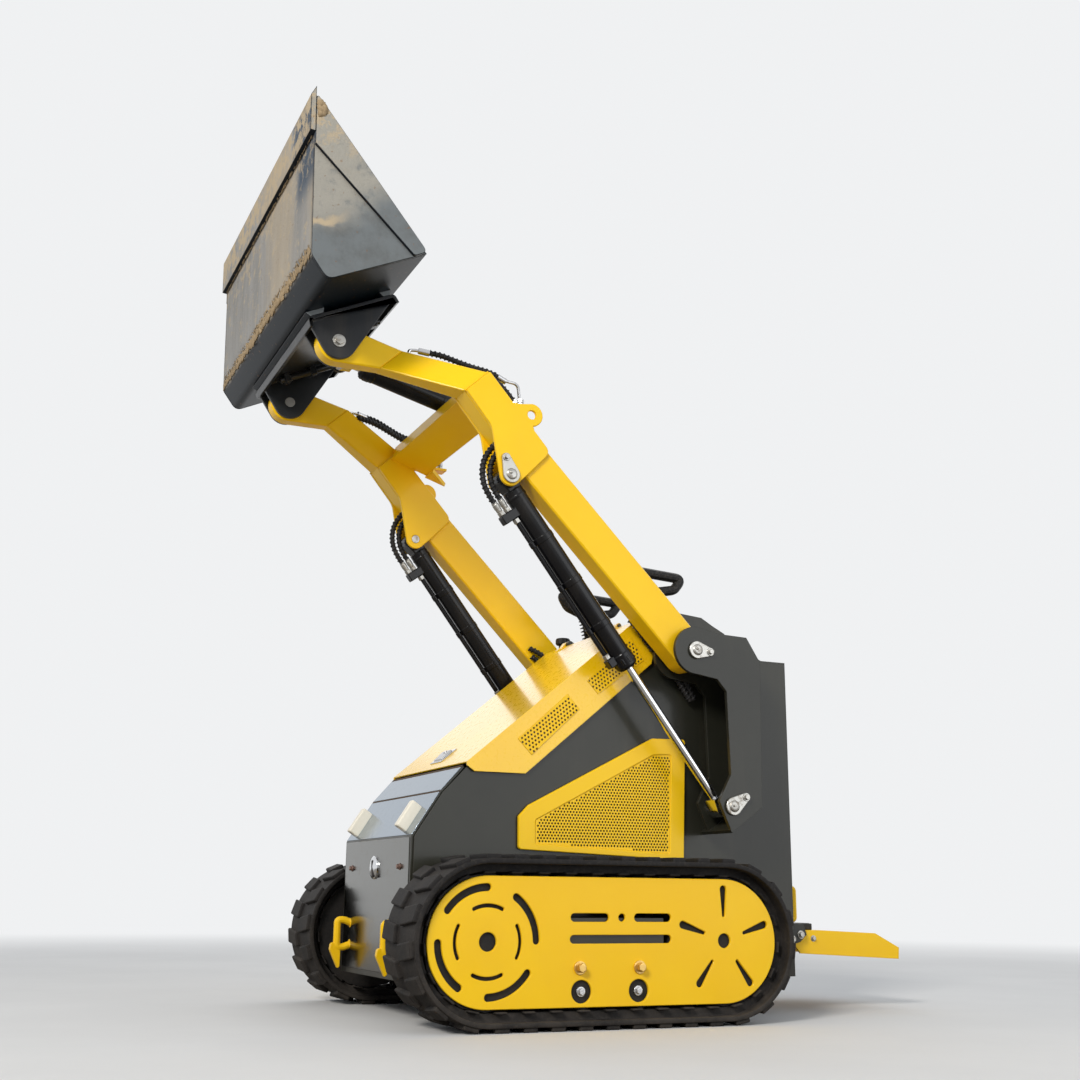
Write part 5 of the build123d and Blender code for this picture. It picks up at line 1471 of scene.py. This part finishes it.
def leverMesh():
    foot, lean, count = levers["foot"], levers["lean"], levers["ribs"]
    head = (foot[0] + lean[0], foot[1] + lean[1])
    place = facing(spot(foot[0], levers["y"], foot[1]), (lean[0], 0, lean[1]))
    length = hypot(*lean)
    outline = [(0, -6), (levers["outer"][0] + 3, -6), (levers["outer"][0] + 3, 0)]
    for rib in range(count):
        share = rib / (count - 1)
        wide, thin = (foot * (1 - share) + top * share for foot, top in (levers["outer"], levers["inner"]))
        base = length * rib / count
        outline += [(thin, base + 1), (wide - 1, base + 2.6), (wide, base + 4), (wide - 1, base + 5.4),
                    (thin, base + 7)]
    outline += [(16, length), (13, length + 5), (0, length + 5)]
    bm = bmesh.new()
    lathe(bm, outline, place, 40)
    ring = [(6, 2), *levers["corners"], (-6, 2)]
    post = [(0, -levers["sunk"]), (2, 60)]
    ring, post = ([spot(head[0] + x, levers["y"], head[1] + z) for x, z in line] for line in (ring, post))
    return joined("controlHandles", [meshFrom(bm, "bellows"),
                                     bar("leverGrip", ring, levers["grip"], levers["bend"]),
                                     bar("leverPost", post, 0.009)])


addPiece("controlHandles", bothSides("controlHandles", leverMesh()), "chassis", "blackPlastic",
         ["control_handles"])


fuelCap = {"at": (-234, -250, 1050), "ribs": 12, "rib": (0.003, 0.004, 0.014), "ribAt": (0.0215, 0, 0.039),
           "shape": ((0, -6), (13, -6), (13, 28), (20, 29), (22, 31), (22, 47), (20, 49.5), (8, 50), (0, 50))}


def fuelCapMesh():
    bm = bmesh.new()
    at = facing(spot(*fuelCap["at"]), (0, 0, 1))
    lathe(bm, fuelCap["shape"], at, 48)
    for rib in range(fuelCap["ribs"]):
        around = at @ Matrix.Rotation(rib * 2 * pi / fuelCap["ribs"], 4, "Z")
        block(bm, fuelCap["rib"], around @ Matrix.Translation(fuelCap["ribAt"]), 0.001, 1)
    return meshFrom(bm, "fuelCap")


addPiece("fuelCap", fuelCapMesh(), "chassis", "blackPlastic", ["fuel_cap"])
print("Controls made")


# Platform: ribs across its mat, the bolts at its bracket, and the bolt in its side, as X, Z and Y
platform = {"mat": (-827, -747, 238), "half": 200, "thick": 18, "ribs": 9, "ribPitch": 8.5,
            "bracket": ((-760, 208, 239), (-730, 196, 239)), "cheek": ((-812, 197, 225),)}


def matMesh():
    rear, front, top = platform["mat"]
    wide, thick = 2 * platform["half"] / 1000, platform["thick"]
    bm = bmesh.new()
    block(bm, ((front - rear) / 1000, wide, thick / 1000),
          Matrix.Translation(spot((rear + front) / 2, 0, top - thick / 2)), 0.002)
    for rib in range(platform["ribs"]):
        at = spot(rear + 6 + rib * platform["ribPitch"], 0, top - 0.5)
        block(bm, (0.0035, wide - 0.012, 0.003), Matrix.Translation(at), 0.0008, 1)
    return meshFrom(bm, "platformMat")


addPiece("platformMat", matMesh(), "platform", "blackPlastic", ["platform_mat"])
for kind, carrier, size in (("bracket", "chassis", 0.008), ("cheek", "platform", 0.006)):
    bolts = boltMesh([sideFace(*place) for place in platform[kind]], kind + "Bolts", size, size)
    addPair(kind + "Bolts", bolts, carrier, "zincSteel")
print("Platform dressed")


# Light, floor and background
studio = {"background": rgb(0.87, 0.88, 0.89), "sky": rgb(0.80, 0.86, 0.95), "skyLevel": 0.50,
          "floor": rgb(0.72, 0.71, 0.69), "floorLit": rgb(0.30, 0.27, 0.23), "fadeFrom": 3.2, "fadeTo": 7.5}
lamps = {
    "keyLamp": {"at": (7.4, 6.8, 6.0), "size": 2.4, "power": 860, "colour": (1.0, 0.97, 0.92)},
    "fillLamp": {"at": (-3.0, 5.5, 2.0), "size": 4.0, "power": 90, "colour": (0.93, 0.96, 1.0)},
    "rearLamp": {"at": (-2.5, -4.0, 4.5), "size": 6.0, "power": 80, "colour": (1.0, 1.0, 1.0)},
}


def makeWorld():
    world = bpy.data.worlds.new("softStudio")
    world.use_nodes = True
    tree = world.node_tree
    light = tree.nodes["Background"]
    light.inputs[0].default_value = studio["sky"]
    light.inputs[1].default_value = studio["skyLevel"]
    seen = put(tree, "Background", {0: studio["background"], 1: 1.0})
    path = put(tree, "LightPath")
    direct = maths(tree, "MAXIMUM", path.outputs["Is Camera Ray"], path.outputs["Is Transmission Ray"])
    direct = maths(tree, "MAXIMUM", direct, path.outputs["Is Glossy Ray"])
    both = put(tree, "MixShader", {0: direct, 1: light.outputs[0], 2: seen.outputs[0]})
    tree.links.new(both.outputs[0], tree.nodes["World Output"].inputs[0])
    bpy.context.scene.world = world


def makeLamp(name, at, size, power, colour):
    data = bpy.data.lights.new(name, "AREA")
    data.size = size
    data.energy = power
    data.color = colour
    lamp = bpy.data.objects.new(name, data)
    bpy.context.scene.collection.objects.link(lamp)
    lamp.matrix_world = facing(Vector(at), Vector(at) - Vector((0.2, 0, 1.0)))


def makeFloor():  # pale ground under the machine that fades into the background further off
    material, tree, shader, place = newMaterial("paleFloor")
    tone = mixed(tree, ranged(tree, noisy(tree, place, 1.2, 6.0, 0.6), 0.3, 0.7), studio["floor"],
                 rgb(*[part * 0.95 for part in studio["floor"][:3]]))
    tone = mixed(tree, put(tree, "LightPath").outputs["Is Camera Ray"], studio["floorLit"], tone)
    feed(tree, shader, colour=tone, rough=0.8, normal=grainNormal(tree, 60.0, 0.0004, 0.0))
    away = put(tree, "VectorMath", {0: place}, operation="LENGTH").outputs["Value"]
    far = put(tree, "Emission", {0: studio["background"], 1: 1.0})
    share = ranged(tree, away, studio["fadeFrom"], studio["fadeTo"])
    both = put(tree, "MixShader", {0: share, 1: shader.outputs[0], 2: far.outputs[0]})
    tree.links.new(both.outputs[0], tree.nodes["Material Output"].inputs[0])
    bm = bmesh.new()
    bmesh.ops.create_circle(bm, cap_ends=True, segments=64, radius=60)
    mesh = bpy.data.meshes.new("studioFloor")
    bm.to_mesh(mesh)
    bm.free()
    mesh.materials.append(material)
    floor = bpy.data.objects.new("studioFloor", mesh)
    bpy.context.scene.collection.objects.link(floor)


makeWorld()
for lampName, values in lamps.items():
    makeLamp(lampName, **values)
makeFloor()
bpy.context.scene.view_settings.view_transform = "Standard"
print("Studio made")
